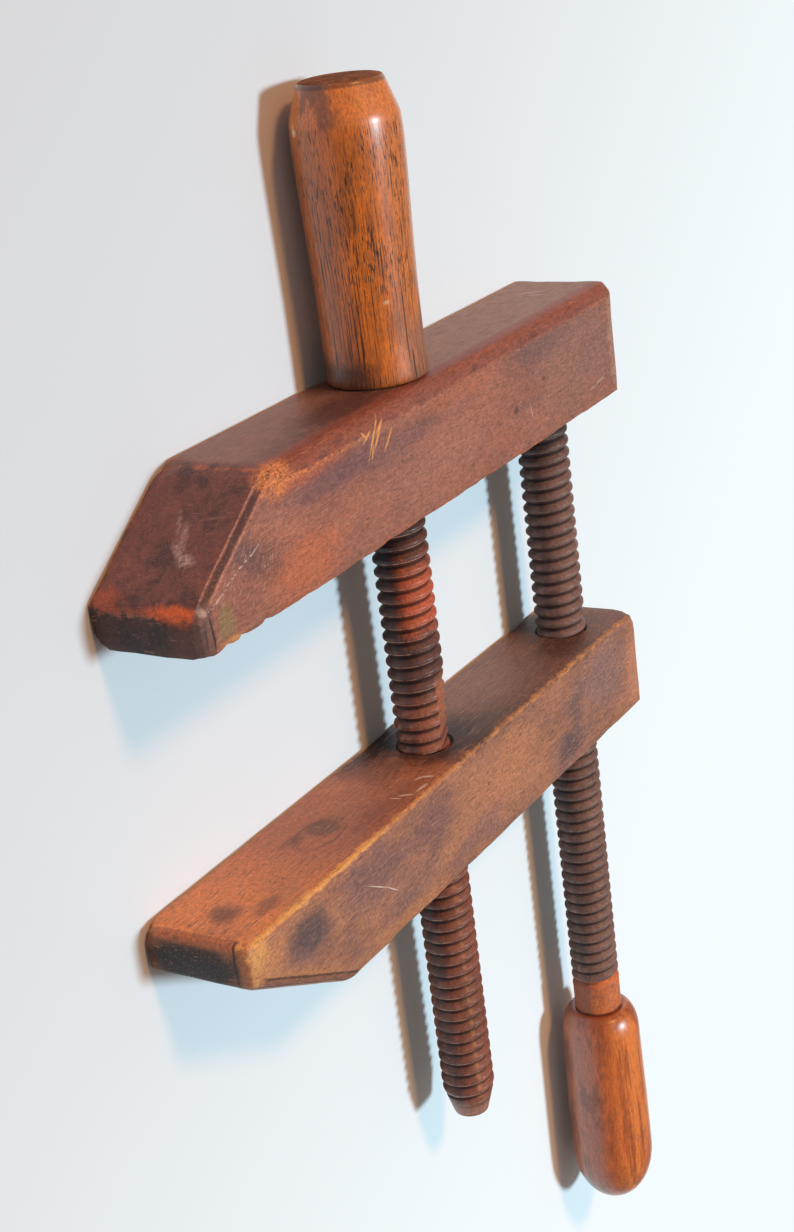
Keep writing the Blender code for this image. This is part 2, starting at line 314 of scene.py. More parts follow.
def rounded_path(points, radius, pieces):
    """The same path with its inner corners rounded, each by a short arc of straight pieces."""
    path = [points[0]]
    for before, corner, after in zip(points, points[1:], points[2:]):
        before, corner, after = map(Vector, (before, corner, after))
        reach = min(radius, (before - corner).length * 0.45, (after - corner).length * 0.45)
        start = corner + (before - corner).normalized() * reach
        end = corner + (after - corner).normalized() * reach
        for i in range(pieces + 1):
            share = i / pieces
            path.append(tuple(start.lerp(corner, share).lerp(corner.lerp(end, share), share)))
    path.append(points[-1])
    return path


def threaded_rod(name, axis, settings, first_turn, turns, clearance=0):
    """A right-hand threaded rod, counted in whole turns from the end of the neck."""
    pitch, depth = settings.pitch, settings.depth
    crest = settings.diameter / 2 + clearance
    root = crest - depth
    start = settings.neck_length + first_turn * pitch
    crest_rounding = 0.0003
    path = rounded_path(
        [(start, root), (start + depth, crest), (start + pitch - depth, crest), (start + pitch, root)],
        crest_rounding, 3)

    # one pitch of the outline, drawn from a single point
    nothing_selected()
    bpy.ops.mesh.primitive_plane_add(size=MM, location=axis.at(0))
    piece = named(name)
    bpy.ops.object.mode_set(mode="EDIT")
    bpy.ops.mesh.select_mode(type="VERT")
    bpy.ops.mesh.select_all(action="SELECT")
    bpy.ops.mesh.merge(type="CENTER")
    bpy.ops.transform.translate(value=(axis.towards * path[0][1], axis.towards * path[0][0], 0))
    for (along, radius), (next_along, next_radius) in zip(path, path[1:]):
        step = (axis.towards * (next_radius - radius), axis.towards * (next_along - along), 0)
        bpy.ops.mesh.extrude_region_move(TRANSFORM_OT_translate={"value": step})
    bpy.ops.object.mode_set(mode="OBJECT")
    screw = piece.modifiers.new("Thread", "SCREW")
    screw.axis = "Y"
    screw.angle = axis.towards * 2 * math.pi
    screw.screw_offset = axis.towards * pitch
    screw.iterations = turns
    screw.steps = settings.steps
    screw.render_steps = settings.steps
    screw.use_merge_vertices = True
    screw.merge_threshold = MERGE_DISTANCE
    apply_modifiers(piece)
    place_in_mesh(piece)
    tidy_normals(piece)

    # the first and last turns run out unevenly, so both ends are cut square
    for end, keep in ((start + pitch * 1.2, -1), (start + pitch * (turns - 0.2), 1)):
        edit_all()
        bpy.ops.mesh.bisect(
            plane_co=axis.at(end), plane_no=(0, axis.towards * keep, 0), clear_outer=True, use_fill=True)
        bpy.ops.object.mode_set(mode="OBJECT")
    tidy_normals(piece)
    return piece


# ---------------------------------------------------------------------------------------------------
# Finishes


class Nodes:
    """Adds nodes to a tree. A value is a number, a vector, a colour or another node's output."""

    def __init__(self, tree):
        self.tree = tree

    def node(self, kind, **settings):
        node = self.tree.nodes.new(kind)
        for key, value in settings.items():
            setattr(node, key, value)
        return node

    def feed(self, socket, value):
        if isinstance(value, bpy.types.NodeSocket):
            self.tree.links.new(value, socket)
        else:
            socket.default_value = value

    def fed(self, node, *values):
        """The same node, with its first inputs fed in order."""
        for socket, value in zip(node.inputs, values):
            self.feed(socket, value)
        return node

    def math(self, operation, *values):
        return self.fed(self.node("ShaderNodeMath", operation=operation), *values).outputs[0]

    def vector(self, operation, *values):
        return self.fed(self.node("ShaderNodeVectorMath", operation=operation), *values).outputs[0]

    def number(self, operation, *values):
        """A number that is worked out from vectors, such as a length."""
        return self.fed(self.node("ShaderNodeVectorMath", operation=operation), *values).outputs["Value"]

    def ease(self, value, low, high, to_low=0.0, to_high=1.0):
        """Goes smoothly from to_low at low to to_high at high."""
        node = self.node("ShaderNodeMapRange", interpolation_type="SMOOTHSTEP")
        return self.fed(node, value, low, high, to_low, to_high).outputs[0]

    def mix(self, share, under, over):
        """A colour that goes from one to another as share goes from 0 to 1."""
        node = self.node("ShaderNodeMix", data_type="RGBA")
        self.feed(node.inputs["Factor"], share)
        for socket, colour in ((node.inputs[6], under), (node.inputs[7], over)):
            self.feed(socket, colour if isinstance(colour, bpy.types.NodeSocket) else (*colour, 1))
        return node.outputs[2]


class Finish(Nodes):
    """One wood finish, built layer on layer in the piece's own space."""

    def __init__(self, name, seed, grain):
        self.material = bpy.data.materials.new(name)
        self.material.use_nodes = True
        super().__init__(self.material.node_tree)
        self.shader = self.tree.nodes["Principled BSDF"]
        self.place = self.node("ShaderNodeTexCoord").outputs["Object"]
        self.x, self.y, self.z = self.fed(self.node("ShaderNodeSeparateXYZ"), self.place).outputs
        self.seed = seed
        self.grain = grain

    def both(self, *amounts):
        """Where all the amounts are: their product. (value, low, high) is an amount that ease gives."""
        result, *others = (self.ease(*given) if isinstance(given, tuple) else given for given in amounts)
        for amount in others:
            result = self.math("MULTIPLY", result, amount)
        return result

    def band(self, value, low, high, soft):
        """1 between low and high and 0 outside, with soft borders."""
        return self.both(
            self.ease(value, low - soft, low + soft), self.ease(value, high + soft, high - soft))

    def shaken(self, value, reach, pattern=None):
        """A value that a pattern, the ragged one if none is given, makes uneven."""
        return self.math("MULTIPLY_ADD", self.ragged if pattern is None else pattern, reach, value)

    def mapped(self, at, size, turn):
        """Object space with an origin, three turns in degrees and three lengths of its own, in mm."""
        mapping = self.fed(self.node("ShaderNodeMapping", vector_type="TEXTURE"), self.place)
        mapping.inputs["Location"].default_value = [part * MM for part in at]
        mapping.inputs["Rotation"].default_value = [math.radians(angle) for angle in turn]
        mapping.inputs["Scale"].default_value = [part * MM for part in size]
        return mapping.outputs[0]

    def noise(self, size, detail=4, roughness=0.55, turn=(0, 0, 0)):
        """Noise with features of three lengths in mm, each time from another part of the pattern."""
        self.seed += 1.37
        away = (self.seed * 90, self.seed * 60, self.seed * 40)
        node = self.node("ShaderNodeTexNoise")
        self.feed(node.inputs["Vector"], self.mapped(away, size, turn))
        node.inputs["Scale"].default_value = 1
        node.inputs["Detail"].default_value = detail
        node.inputs["Roughness"].default_value = roughness
        return node.outputs[0]

    def grained(self, width, stretch, detail=4, roughness=0.55):
        """Noise drawn out along the grain."""
        return self.noise([width * (stretch if along else 1) for along in self.grain], detail, roughness)

    def blot(self, at, size, ragged=1.1, soft=0.6, turn=(0, 0, 0)):
        """1 inside an ellipsoid of these half sizes in mm and 0 outside it, with a ragged border."""
        reach = self.number("LENGTH", self.mapped(at, size, turn))
        shift = self.math("MULTIPLY_ADD", self.ragged, ragged * 2, -ragged)
        return self.ease(self.math("ADD", reach, shift), 1 + soft, 1 - soft)

    def lay(self, colour, strength, *amounts):
        """Lay a colour over what is there, where all the amounts are."""
        self.colour = self.mix(self.both(*amounts, strength), self.colour, tone(*colour))

    def lay_blots(self, *blots):
        """Stains and patches of painted shade as (colour, strength, place, half sizes), some with a border
        and a turn of their own.
        """
        for colour, strength, *shape in blots:
            self.lay(colour, strength, self.blot(*shape))

    def lay_marks(self, colour, strength, ragged, soft, marks):
        """Single scratches and nicks of one colour, as (place, half sizes, turn)."""
        for at, size, turn in marks:
            self.lay(colour, strength, self.blot(at, size, ragged, soft, turn))

    def shade(self, amount):
        """Multiply the colour by a number at each point."""
        node = self.fed(self.node("ShaderNodeVectorMath", operation="SCALE"), self.colour)
        self.feed(node.inputs["Scale"], amount)
        self.colour = node.outputs[0]

    def bare_wood(self, colour, spread):
        """Soft figure of two tones along the grain, and the finer patterns that later layers use."""
        self.ragged = self.grained(4.0, 1.6, 8, 0.75)
        self.speckle = self.grained(1.1, 1.4, 8, 0.85)
        self.fibre = self.grained(0.5, 9, 4, 0.7)
        figure = self.grained(9, 3.0, 6, 0.7)
        darker, lighter = ([part * (1 + change) for part in colour] for change in (-spread, spread))
        self.colour = self.mix(self.ease(figure, 0.34, 0.66), darker, lighter)

    def fine_grain(self, speckle, fibre):
        """Flecks and fibres over every colour laid so far."""
        self.shade(self.ease(self.speckle, 0.36, 0.64, 1 - speckle, 1 + speckle))
        self.shade(self.ease(self.fibre, 0.36, 0.64, 1 - fibre, 1 + fibre))

    def scratches(self, colour, strength, share, size, turn=(0, 0, 0), *within):
        """Scattered thin marks of one direction, over a share of the surface."""
        lines = self.noise(size, 1, 0.5, turn)
        self.lay(colour, strength, self.ease(lines, share, share + 0.05), *within)

    def flecked(self, smoothest, roughest):
        """A roughness that follows the flecks."""
        return self.ease(self.speckle, 0.3, 0.7, smoothest, roughest)

    def finish(self, roughness, coat, coat_roughness, bump, gloss, *heights):
        """Join the colour, roughness and bump to the shader. The bump adds up its heights."""
        self.feed(self.shader.inputs["Base Color"], self.colour)
        self.feed(self.shader.inputs["Roughness"], roughness)
        self.shader.inputs["Specular IOR Level"].default_value = gloss
        self.shader.inputs["Coat Weight"].default_value = coat
        self.shader.inputs["Coat Roughness"].default_value = coat_roughness
        node = self.node("ShaderNodeBump")
        node.inputs["Strength"].default_value = bump
        node.inputs["Distance"].default_value = 0.0004
        height, *others = heights or (self.fibre, self.speckle, self.ragged)
        for other in others:
            height = self.math("ADD", height, other)
        self.feed(node.inputs["Height"], height)
        self.feed(self.shader.inputs["Normal"], node.outputs[0])
        return self.material


def give_finish(piece, material):
    piece.data.materials.clear()
    piece.data.materials.append(material)


def depth_behind(wood, point, normal):
    """How deep each point lies behind a plane."""
    return wood.number("DOT_PRODUCT", wood.vector("SUBTRACT", wood.place, point), -normal)


def across(wood, axis):
    """How far each point lies to one side of an axis, where the light falls, or to the other (negative)."""
    slant = Vector((0.57, 0, 0.82))
    along_x = wood.math("MULTIPLY_ADD", wood.x, slant.x, -slant.dot(axis.base))
    return wood.math("MULTIPLY_ADD", wood.z, slant.z, along_x)


def lay_shade_in_bores(wood, colour, radius, top):
    """Lay painted shade, a dark colour, on the walls of both screws' holes, below a height along Y."""
    inside = wood.ease(wood.y, top - 0.0010, top - 0.0020)
    for axis in (MIDDLE_AXIS, END_AXIS):
        away = wood.vector("MULTIPLY", wood.vector("SUBTRACT", wood.place, axis.base), (1, 0, 1))
        walls = wood.ease(wood.number("LENGTH", away), radius + 0.0002, radius - 0.0002)
        wood.lay(colour, 0.85, walls, inside)


def lay_strip(wood, bevel, top, width, dark):
    """The maker's narrow chamfer along the bevel: dark, with a rubbed line on both sides."""
    corner = wood.math("MAXIMUM", depth_behind(wood, *bevel), wood.math("SUBTRACT", top, wood.z))
    corner = wood.math("ADD", corner, wood.math("MULTIPLY_ADD", wood.ragged, 0.0006, -0.0003))
    wood.lay(dark, 0.9, (corner, width * 0.86, width * 0.74))
    broken = wood.ease(wood.speckle, 0.36, 0.55, 0.25, 1.0)
    wood.lay((200, 138, 116), 0.7, wood.band(corner, width * 0.90, width * 1.05, width * 0.05), broken)


def lay_worn_edges(wood, edge, off_nose, worn, bright):
    """Thin and broken wear along the jaw's edges. worn and bright are each a colour and its strength."""
    for layer, pattern, reach, low, high in (
        (worn, wood.ragged, -0.0080, -0.0026, -0.0036),
        (bright, wood.speckle, -0.0070, -0.0032, -0.0037),
    ):
        wood.lay(*layer, (wood.shaken(edge, reach, pattern), low, high), off_nose)


def from_edge(wood):
    """The distance to the nearest long edge, which the jaw's mesh carries as an attribute."""
    return wood.node("ShaderNodeAttribute", attribute_name="edge_distance").outputs["Fac"]


def plain_jaw_side(wood):
    """The side that shows: purple, grey and orange stains."""
    wood.lay_blots(
        ((118, 80, 82), 0.80, (-50, 125, 36), (24, 5.0, 6)),
        ((118, 80, 82), 0.60, (-12, 124, 36), (16, 4.0, 6)),
        ((176, 112, 92), 0.55, (0, 112, 36), (34, 9.0, 6)),
        ((124, 88, 84), 0.65, (68, 129, 36), (24, 6.0, 6)),
        ((150, 110, 98), 0.50, (96, 116, 36), (28, 16, 6)),
        ((190, 146, 126), 0.55, (122, 118, 34), (3.0, 20, 6)),
        ((196, 106, 68), 0.80, (-72, 106, 36), (18, 8.0, 6)),
        ((188, 98, 62), 0.85, (-68, 131, 36), (22, 3.4, 6)),
        ((184, 104, 70), 0.45, (12, 128, 36), (30, 2.6, 6)),
        ((90, 68, 70), 0.70, (-98, 117, 36), (8, 4.5, 6), 1.4, 0.9, (0, 0, -18)),
        ((112, 72, 62), 0.40, (-89, 112, 36), (8, 5.0, 6)),
        ((150, 88, 72), 0.60, (-106, 108, 36), (10, 7.0, 6)),
        ((80, 54, 50), 0.75, (50, 112, 36), (1.5, 1.3, 4), 0.5),
        ((84, 58, 52), 0.60, (70, 117, 36), (1.0, 0.8, 4), 0.5),
        ((84, 58, 52), 0.50, (20, 104, 36), (1.2, 0.7, 4), 0.5),
        ((152, 124, 80), 0.75, (-111, 104.5, 36), (3.4, 4.4, 4)),
    )


def plain_jaw_outer_face(wood):
    """Greyed behind the handle by rubbing and painted sheen, dark and red in front of it, with painted
    shade beside and below the handle, and a rounded upper edge.
    """
    front = wood.ease(wood.z, plain_high.z - 0.004, plain_high.z - 0.001)
    outer = wood.ease(wood.y, plain_high.y - 0.0035, plain_high.y - 0.0008)
    wood.lay((124, 78, 64), 0.75, outer)
    # paler and greyer behind the handle: rubbing and painted sheen
    behind_handle = wood.ease(wood.x, -0.010, 0.030, 0.35, 1.0)
    wood.lay((164, 118, 90), 0.75, outer, (wood.ragged, 0.34, 0.56), behind_handle)
    # the first patch, beside the handle, and the third, below it, are painted shade; the second is a stain
    wood.lay_blots(
        ((90, 46, 36), 0.85, (-30, 136, 24), (22, 5, 9)),
        ((104, 56, 44), 0.65, (-66, 136, 30), (16, 5, 6)),
        ((84, 50, 44), 0.70, (-4, 136, 8), (14, 5, 8)),
    )
    rounded = wood.both((wood.y, 0.1298, 0.1318), (wood.z, 0.0290, 0.0312))
    wood.lay((150, 74, 52), 0.8, rounded)
    wood.lay((108, 58, 48), 0.7, rounded, (wood.ragged, 0.50, 0.64))
    rim = wood.band(wood.shaken(wood.y, 0.0036), 0.1316, 0.1330, 0.0004)
    towards_nose = wood.ease(wood.x, -0.030, -0.055, 0.25, 1.0)
    wood.lay((222, 128, 76), 0.75, rim, front, (wood.speckle, 0.46, 0.54), towards_nose)


def plain_jaw_bevel(wood, bevel, strip):
    """The bevel and the nose: grimy, scuffed and orange where the grime is rubbed off."""
    on_bevel = wood.ease(depth_behind(wood, *bevel), 0.0022, 0.0010)
    grime = wood.noise((9, 9, 9), 7, 0.75)
    wood.lay((118, 66, 58), 0.9, on_bevel)
    wood.lay((70, 44, 42), 0.75, on_bevel, (grime, 0.48, 0.62))
    wood.lay((150, 84, 66), 0.6, on_bevel, (grime, 0.46, 0.36))
    wood.lay_blots(
        ((164, 118, 106), 0.45, (-97, 126, 27), (0.4, 2.0, 4.4), 0.8, 0.6, (0, 12, 0)),
        ((234, 108, 44), 0.95, (-120.4, 109.2, 28), (2.6, 2.2, 7.0)),
        ((184, 84, 50), 0.80, (-118.5, 110.8, 4.5), (3.6, 3.0, 5.0)),
        ((186, 88, 50), 0.45, (-121.4, 109.6, 15), (0.8, 1.2, 12)),
    )
    for strength, at, size, turn in (
        (0.85, (-108.4, 118.6, 24.0), (1.6, 2.4, 2.4), (0, 0, 0)),
        (0.70, (-106.0, 120.0, 20.5), (1.3, 2.4, 3.8), (0, -40, 0)),
        (0.55, (-102.0, 123.0, 20.0), (4.4, 3.0, 1.0), (0, 20, 0)),
        (0.40, (-99.0, 125.0, 16.5), (4.6, 3.0, 0.7), (0, 24, 0)),
    ):
        scuff = wood.blot(at, size, 0.6, 0.7, turn)
        wood.lay((196, 160, 150), strength, scuff, (wood.speckle, 0.38, 0.54))
    nose = wood.both(
        (wood.x, plain_low.x + 0.0034, plain_low.x + 0.0016),
        (wood.shaken(wood.y, -0.010), 0.1040, 0.1020))
    wood.lay((64, 42, 38), 0.95, nose)
    wood.lay((38, 30, 34), 0.8, nose, (grime, 0.46, 0.56))
    wood.lay_blots(
        ((224, 100, 44), 0.80, (-121.5, 109.5, 28), (2.0, 2.6, 6.0), 1.2),
        ((112, 62, 48), 0.60, (-121, 101, 30), (4, 5, 5)),
        # the near-black line low on the nose, where it meets the floor, is painted shade
        ((30, 24, 24), 0.80, (-121, 104, 1.6), (4, 7, 0.4), 0.3, 0.3),
    )
    lay_strip(wood, bevel, plain_high.z, strip, (70, 38, 36))
    wood.lay(
        (112, 76, 68), 0.75, (wood.x, plain_low.x + 0.0062, plain_low.x + 0.0050),
        (wood.y, 0.1125, 0.1110), (wood.z, 0.0325, 0.0340))
    wood.lay_blots(
        ((26, 18, 18), 0.90, (-116.8, 103.5, 36), (0.35, 5.2, 1.6), 0.35, 0.4, (0, 0, 6)),
        ((40, 26, 24), 0.60, (-119.4, 103.0, 36), (0.3, 3.4, 1.6), 0.35, 0.4, (0, 0, 4)),
        ((232, 150, 84), 0.70, (-108, 98.5, 36), (6.0, 1.2, 2.5)),
        ((226, 196, 176), 0.60, (-118.8, 110.4, 35.5), (1.0, 1.6, 1.6), 1.2),
    )
    wood.lay(
        (232, 136, 70), 0.85, wood.blot((-81, 133, 35), (6, 5, 4)), (wood.speckle, 0.40, 0.54))
    # a broken pale line that runs off from the bevel
    leaving = wood.shaken(wood.math("MULTIPLY_ADD", wood.x, -0.25, depth_behind(wood, *bevel)), 0.0030)
    wood.lay(
        (232, 196, 180), 0.75, wood.band(leaving, 0.0336, 0.0340, 0.0002),
        wood.band(wood.x, -0.117, -0.092, 0.002), (wood.z, 0.0345, 0.0352),
        (wood.speckle, 0.46, 0.54))


def plain_jaw_finish(colour, bevel, strip):
    wood = Finish("old_red_brown_wood", 3.1, ALONG_X)
    wood.bare_wood(colour, 0.14)
    cloud = wood.noise((34, 16, 16), 6, 0.65)
    wood.lay((136, 92, 86), 0.5, (cloud, 0.50, 0.62))
    wood.lay((180, 106, 80), 0.5, (cloud, 0.50, 0.38))
    plain_jaw_side(wood)
    plain_jaw_outer_face(wood)
    plain_jaw_bevel(wood, bevel, strip)
    off_nose = wood.ease(wood.x, -0.119, -0.112)
    lay_worn_edges(wood, from_edge(wood), off_nose, ((196, 104, 62), 0.7), ((226, 148, 88), 0.75))
    wood.fine_grain(0.26, 0.12)
    # scratches and small pits
    near_nose = wood.both(
        wood.blot((-100, 115, 36), (24, 12, 6)), (depth_behind(wood, *bevel), 0.0030, 0.0045))
    wood.scratches((206, 150, 132), 0.6, 0.63, (0.30, 2.6, 2.6), (0, 0, -32), near_nose)
    wood.scratches((196, 138, 116), 0.4, 0.66, (6.0, 0.30, 0.30))
    wood.scratches((186, 128, 110), 0.35, 0.68, (0.30, 3.5, 3.5), (0, 0, 20))
    wood.scratches((66, 42, 38), 0.55, 0.67, (5.0, 0.40, 0.40))
    wood.scratches((58, 38, 36), 0.60, 0.70, (0.60, 0.60, 0.60))
    wood.lay_marks((246, 164, 88), 0.85, 1.2, 0.6, (
        ((-33.0, 129.0, 36), (5.0, 0.45, 2), (0, 0, 58)),
        ((-30.8, 128.2, 36), (4.2, 0.45, 2), (0, 0, 52)),
        ((-35.8, 130.2, 36), (2.4, 0.35, 2), (0, 0, 30)),
        ((-29.5, 130.8, 36), (2.2, 0.35, 2), (0, 0, 44)),
        ((-25.0, 126.4, 36), (2.6, 0.40, 2), (0, 0, 50)),
        ((-37.8, 131.0, 36), (1.6, 0.40, 2), (0, 0, -40)),
        ((-34.0, 125.2, 36), (1.8, 0.35, 2), (0, 0, 66)),
        ((-27.0, 124.6, 36), (1.4, 0.30, 2), (0, 0, 48)),
    ))
    wood.lay_marks((206, 182, 170), 0.55, 1.1, 0.6, (
        ((106, 136, 14.5), (0.7, 3, 4.4), (0, 34, 0)),
        ((103, 136, 18.5), (0.5, 3, 2.6), (0, 20, 0)),
        ((110, 105, 36), (2.6, 0.30, 2), (0, 0, 8)),
        ((104, 104, 36), (1.4, 0.30, 2), (0, 0, 8)),
        ((60, 109, 36), (0.3, 2.4, 2), (0, 0, 12)),
    ))
    lay_shade_in_bores(wood, (48, 30, 27), 0.0094, plain_high.y)
    return wood.finish(wood.flecked(0.40, 0.62), 0.12, 0.32, 0.6, 0.35)


def threaded_jaw_side(wood):
    """The side that shows: grey stains on orange, and golden wood by the nose."""
    wood.lay_blots(
        ((128, 90, 88), 0.75, (-62, 5, 36), (15, 8, 6)),
        ((126, 86, 84), 0.75, (-28, 4, 36), (10, 9, 6)),
        ((136, 96, 88), 0.55, (-44, -8, 36), (14, 6, 6)),
        ((146, 110, 104), 0.70, (92, 4, 36), (18, 11, 6)),
        ((206, 134, 86), 0.80, (-116, 9, 36), (8, 7, 6)),
        ((196, 128, 82), 0.80, (-98, -8, 36), (22, 3.4, 6), 1.1, 0.6, (0, 0, -31)),
        ((230, 160, 92), 0.75, (-119.5, 13, 36), (4.0, 4.5, 4)),
        ((190, 122, 80), 0.60, (-50, -16, 36), (30, 3.0, 6)),
        ((200, 128, 88), 0.60, (18, 2, 36), (20, 9, 6)),
        ((208, 138, 106), 0.65, (117, -4, 36), (5, 13, 6)),
        ((84, 70, 72), 0.80, (-97, 7, 36), (8.5, 5.0, 6)),
        ((92, 76, 76), 0.60, (-91, 3, 36), (5.0, 4.0, 6)),
        ((92, 74, 76), 0.75, (64, -10, 36), (8, 5, 6)),
        ((104, 82, 80), 0.50, (70, 0, 36), (5, 8, 6)),
        ((96, 66, 60), 0.65, (-30, -4, 36), (0.8, 0.8, 4), 0.5),
        ((96, 66, 60), 0.55, (30, 9, 36), (1.0, 0.6, 4), 0.5),
    )


def threaded_jaw_inner_face(wood, cloud):
    """Orange towards the nose, grey round the screws and dark with painted shade round and under them, with
    a ringed stain between them and it.
    """
    inner = wood.ease(wood.y, threaded_high.y - 0.0022, threaded_high.y - 0.0008)
    wood.lay((192, 112, 74), 0.65, inner)
    wood.lay((238, 142, 78), 0.85, inner, (wood.x, -0.060, -0.108))
    wood.lay((196, 122, 80), 0.6, inner, (cloud, 0.52, 0.40), (wood.x, -0.02, -0.05))
    wood.lay((120, 86, 74), 0.85, inner, (wood.x, -0.012, 0.010))
    # the second, third, fifth and sixth patches, dark round and under the screws, are painted shade
    wood.lay_blots(
        ((88, 70, 64), 0.65, (16, 17, 26), (22, 4, 10)),
        ((60, 42, 38), 0.90, (3, 17, 19), (18, 6, 15), 0.7, 0.5),
        ((30, 22, 23), 0.95, (-8, 17, 3), (17, 6, 9), 0.7, 0.5),
        ((160, 120, 102), 0.55, (44, 17, 15), (20, 4, 13)),
        ((74, 52, 46), 0.70, (84, 17, 26), (10, 4, 9), 1.1, 0.6, (0, -30, 0)),
        ((70, 50, 44), 0.70, (98, 17, 14), (13, 4, 12)),
        ((146, 80, 58), 0.50, (-44, 17, 30), (18, 4, 5)),
        ((112, 66, 52), 0.55, (-22, 17, 12), (8, 4, 10)),
    )
    ring = wood.math(
        "SUBTRACT", wood.blot((-62.5, 17, 19), (11, 5, 6.5), 0.5, 0.10),
        wood.blot((-62.5, 17, 19), (10.3, 5, 5.9), 0.5, 0.12))
    wood.lay((72, 46, 40), 0.85, ring, (wood.ragged, 0.36, 0.50))
    wood.lay_blots(
        ((106, 74, 58), 0.70, (-59, 17, 18), (5.4, 4, 5.0), 0.5, 0.25),
        ((130, 88, 62), 0.50, (-58, 17, 19.5), (3.4, 4, 2.6), 0.8),
        ((110, 70, 56), 0.60, (-69, 17, 14), (4, 4, 2.4)),
        ((92, 60, 52), 0.75, (-111, 17, 19), (4.2, 4, 4.4)),
        ((108, 68, 58), 0.60, (-103, 17, 28), (6, 4, 2.6)),
    )


def threaded_jaw_nose(wood, bevel, strip):
    """A charred oval on the nose, and the dark strip along the bevel."""
    nose = wood.ease(wood.x, threaded_low.x + 0.0030, threaded_low.x + 0.0014)
    wood.lay((128, 82, 62), 0.85, nose)
    wood.lay((84, 56, 44), 0.9, nose, wood.blot((-124, 7.8, 17), (6, 6.6, 14.6), 0.8, 0.2))
    wood.lay((38, 38, 44), 0.95, nose, wood.blot((-124, 7.8, 16), (6, 6.0, 14.0), 0.35, 0.3))
    wood.lay((198, 112, 70), 0.8, nose, (wood.y, 0.0135, 0.0155))
    wood.lay((186, 116, 72), 0.75, nose, (wood.z, 0.0315, 0.0335))
    wood.lay((30, 22, 22), 0.8, nose, wood.band(wood.z, 0.0306, 0.0314, 0.0002))
    lay_strip(wood, bevel, threaded_high.z, strip, (70, 46, 42))
    behind = wood.shaken(depth_behind(wood, *bevel), 0.0010)
    low_front = wood.both((wood.z, 0.0340, 0.0352), (wood.x, -0.121, -0.118))
    wood.lay((128, 80, 66), 0.75, (behind, 0.0036, 0.0030), low_front)
    wood.lay((60, 40, 38), 0.8, wood.band(behind, 0.0033, 0.0041, 0.0002), low_front)
    wood.lay((226, 158, 96), 0.7, wood.blot((-122.6, 8, 35.4), (1.0, 8, 1.0), 0.8))


def threaded_jaw_finish(colour, bevel, strip):
    wood = Finish("old_orange_brown_wood", 7.7, ALONG_X)
    wood.bare_wood(colour, 0.16)
    cloud = wood.noise((30, 16, 16), 6, 0.65)
    wood.lay((140, 98, 92), 0.6, (cloud, 0.50, 0.62))
    wood.lay((192, 126, 90), 0.5, (cloud, 0.50, 0.38))
    threaded_jaw_side(wood)
    threaded_jaw_inner_face(wood, cloud)
    threaded_jaw_nose(wood, bevel, strip)
    edge = from_edge(wood)
    off_nose = wood.ease(wood.x, -0.1235, -0.118)
    lay_worn_edges(wood, edge, off_nose, ((204, 126, 78), 0.75), ((226, 152, 90), 0.8))
    golden = wood.both(
        (wood.shaken(edge, -0.0052), -0.0008, -0.0013), (wood.z, 0.0310, 0.0325),
        (wood.y, 0.0115, 0.0130), (wood.x, -0.046, -0.064, 0.3, 1.0))
    wood.lay((236, 162, 88), 0.95, golden)
    wood.lay((150, 92, 54), 0.5, golden, (wood.speckle, 0.52, 0.62))
    wood.fine_grain(0.28, 0.12)
    wood.scratches((222, 164, 122), 0.45, 0.65, (6.0, 0.30, 0.30))
    wood.scratches((206, 150, 116), 0.45, 0.67, (0.30, 3.0, 3.0), (0, 0, 24))
    wood.scratches((72, 46, 42), 0.60, 0.66, (5.0, 0.40, 0.40))
    wood.scratches((62, 42, 38), 0.60, 0.69, (0.60, 0.60, 0.60))
    wood.scratches((72, 50, 44), 0.45, 0.66, (0.35, 4.0, 4.0), (0, 0, -12))
    wood.lay_marks((236, 202, 182), 0.85, 0.9, 0.5, (
        ((-61, 1.6, 36), (5, 0.18, 2), (0, 0, -30)),
        ((-54.0, -2.8, 36), (3.6, 0.18, 2), (0, 0, -36)),
        ((-20, 17, 31), (1.8, 3, 0.7), (0, -60, 0)),
        ((-22, 17, 29), (1.4, 3, 0.4), (0, -30, 0)),
        ((-33, 17, 31), (2.2, 3, 0.4), (0, -55, 0)),
        ((-36, 17, 29), (1.6, 3, 0.3), (0, -75, 0)),
        ((-27, 17, 33), (2.6, 3, 0.4), (0, -5, 0)),
    ))
    lay_shade_in_bores(wood, (44, 28, 26), 0.0092, threaded_high.y + 0.002)
    return wood.finish(wood.flecked(0.42, 0.64), 0.10, 0.34, 0.6, 0.35)


def lay_far_side(wood, axis, colour, strength):
    """Darken the side of a screw that the light doesn't reach."""
    far = wood.ease(across(wood, axis), 0.0010, -0.0050)
    wood.lay(colour, strength, far, (wood.ragged, 0.66, 0.44))


def follow_thread(wood, axis, settings):
    """How far along the pitch each point lies, from root to root, as the thread winds."""
    away = wood.vector("SUBTRACT", wood.place, axis.at(settings.neck_length))
    x, y, z = wood.fed(wood.node("ShaderNodeSeparateXYZ"), away).outputs
    turns = wood.math("DIVIDE", wood.math("ARCTAN2", x, z), 2 * math.pi)
    advance = wood.math("DIVIDE", y, settings.pitch)
    quarter = axis.towards * 0.25  # the profile starts a quarter turn from where the angle does
    return wood.math("FRACT", wood.math("ADD", wood.math("SUBTRACT", advance, turns), quarter))


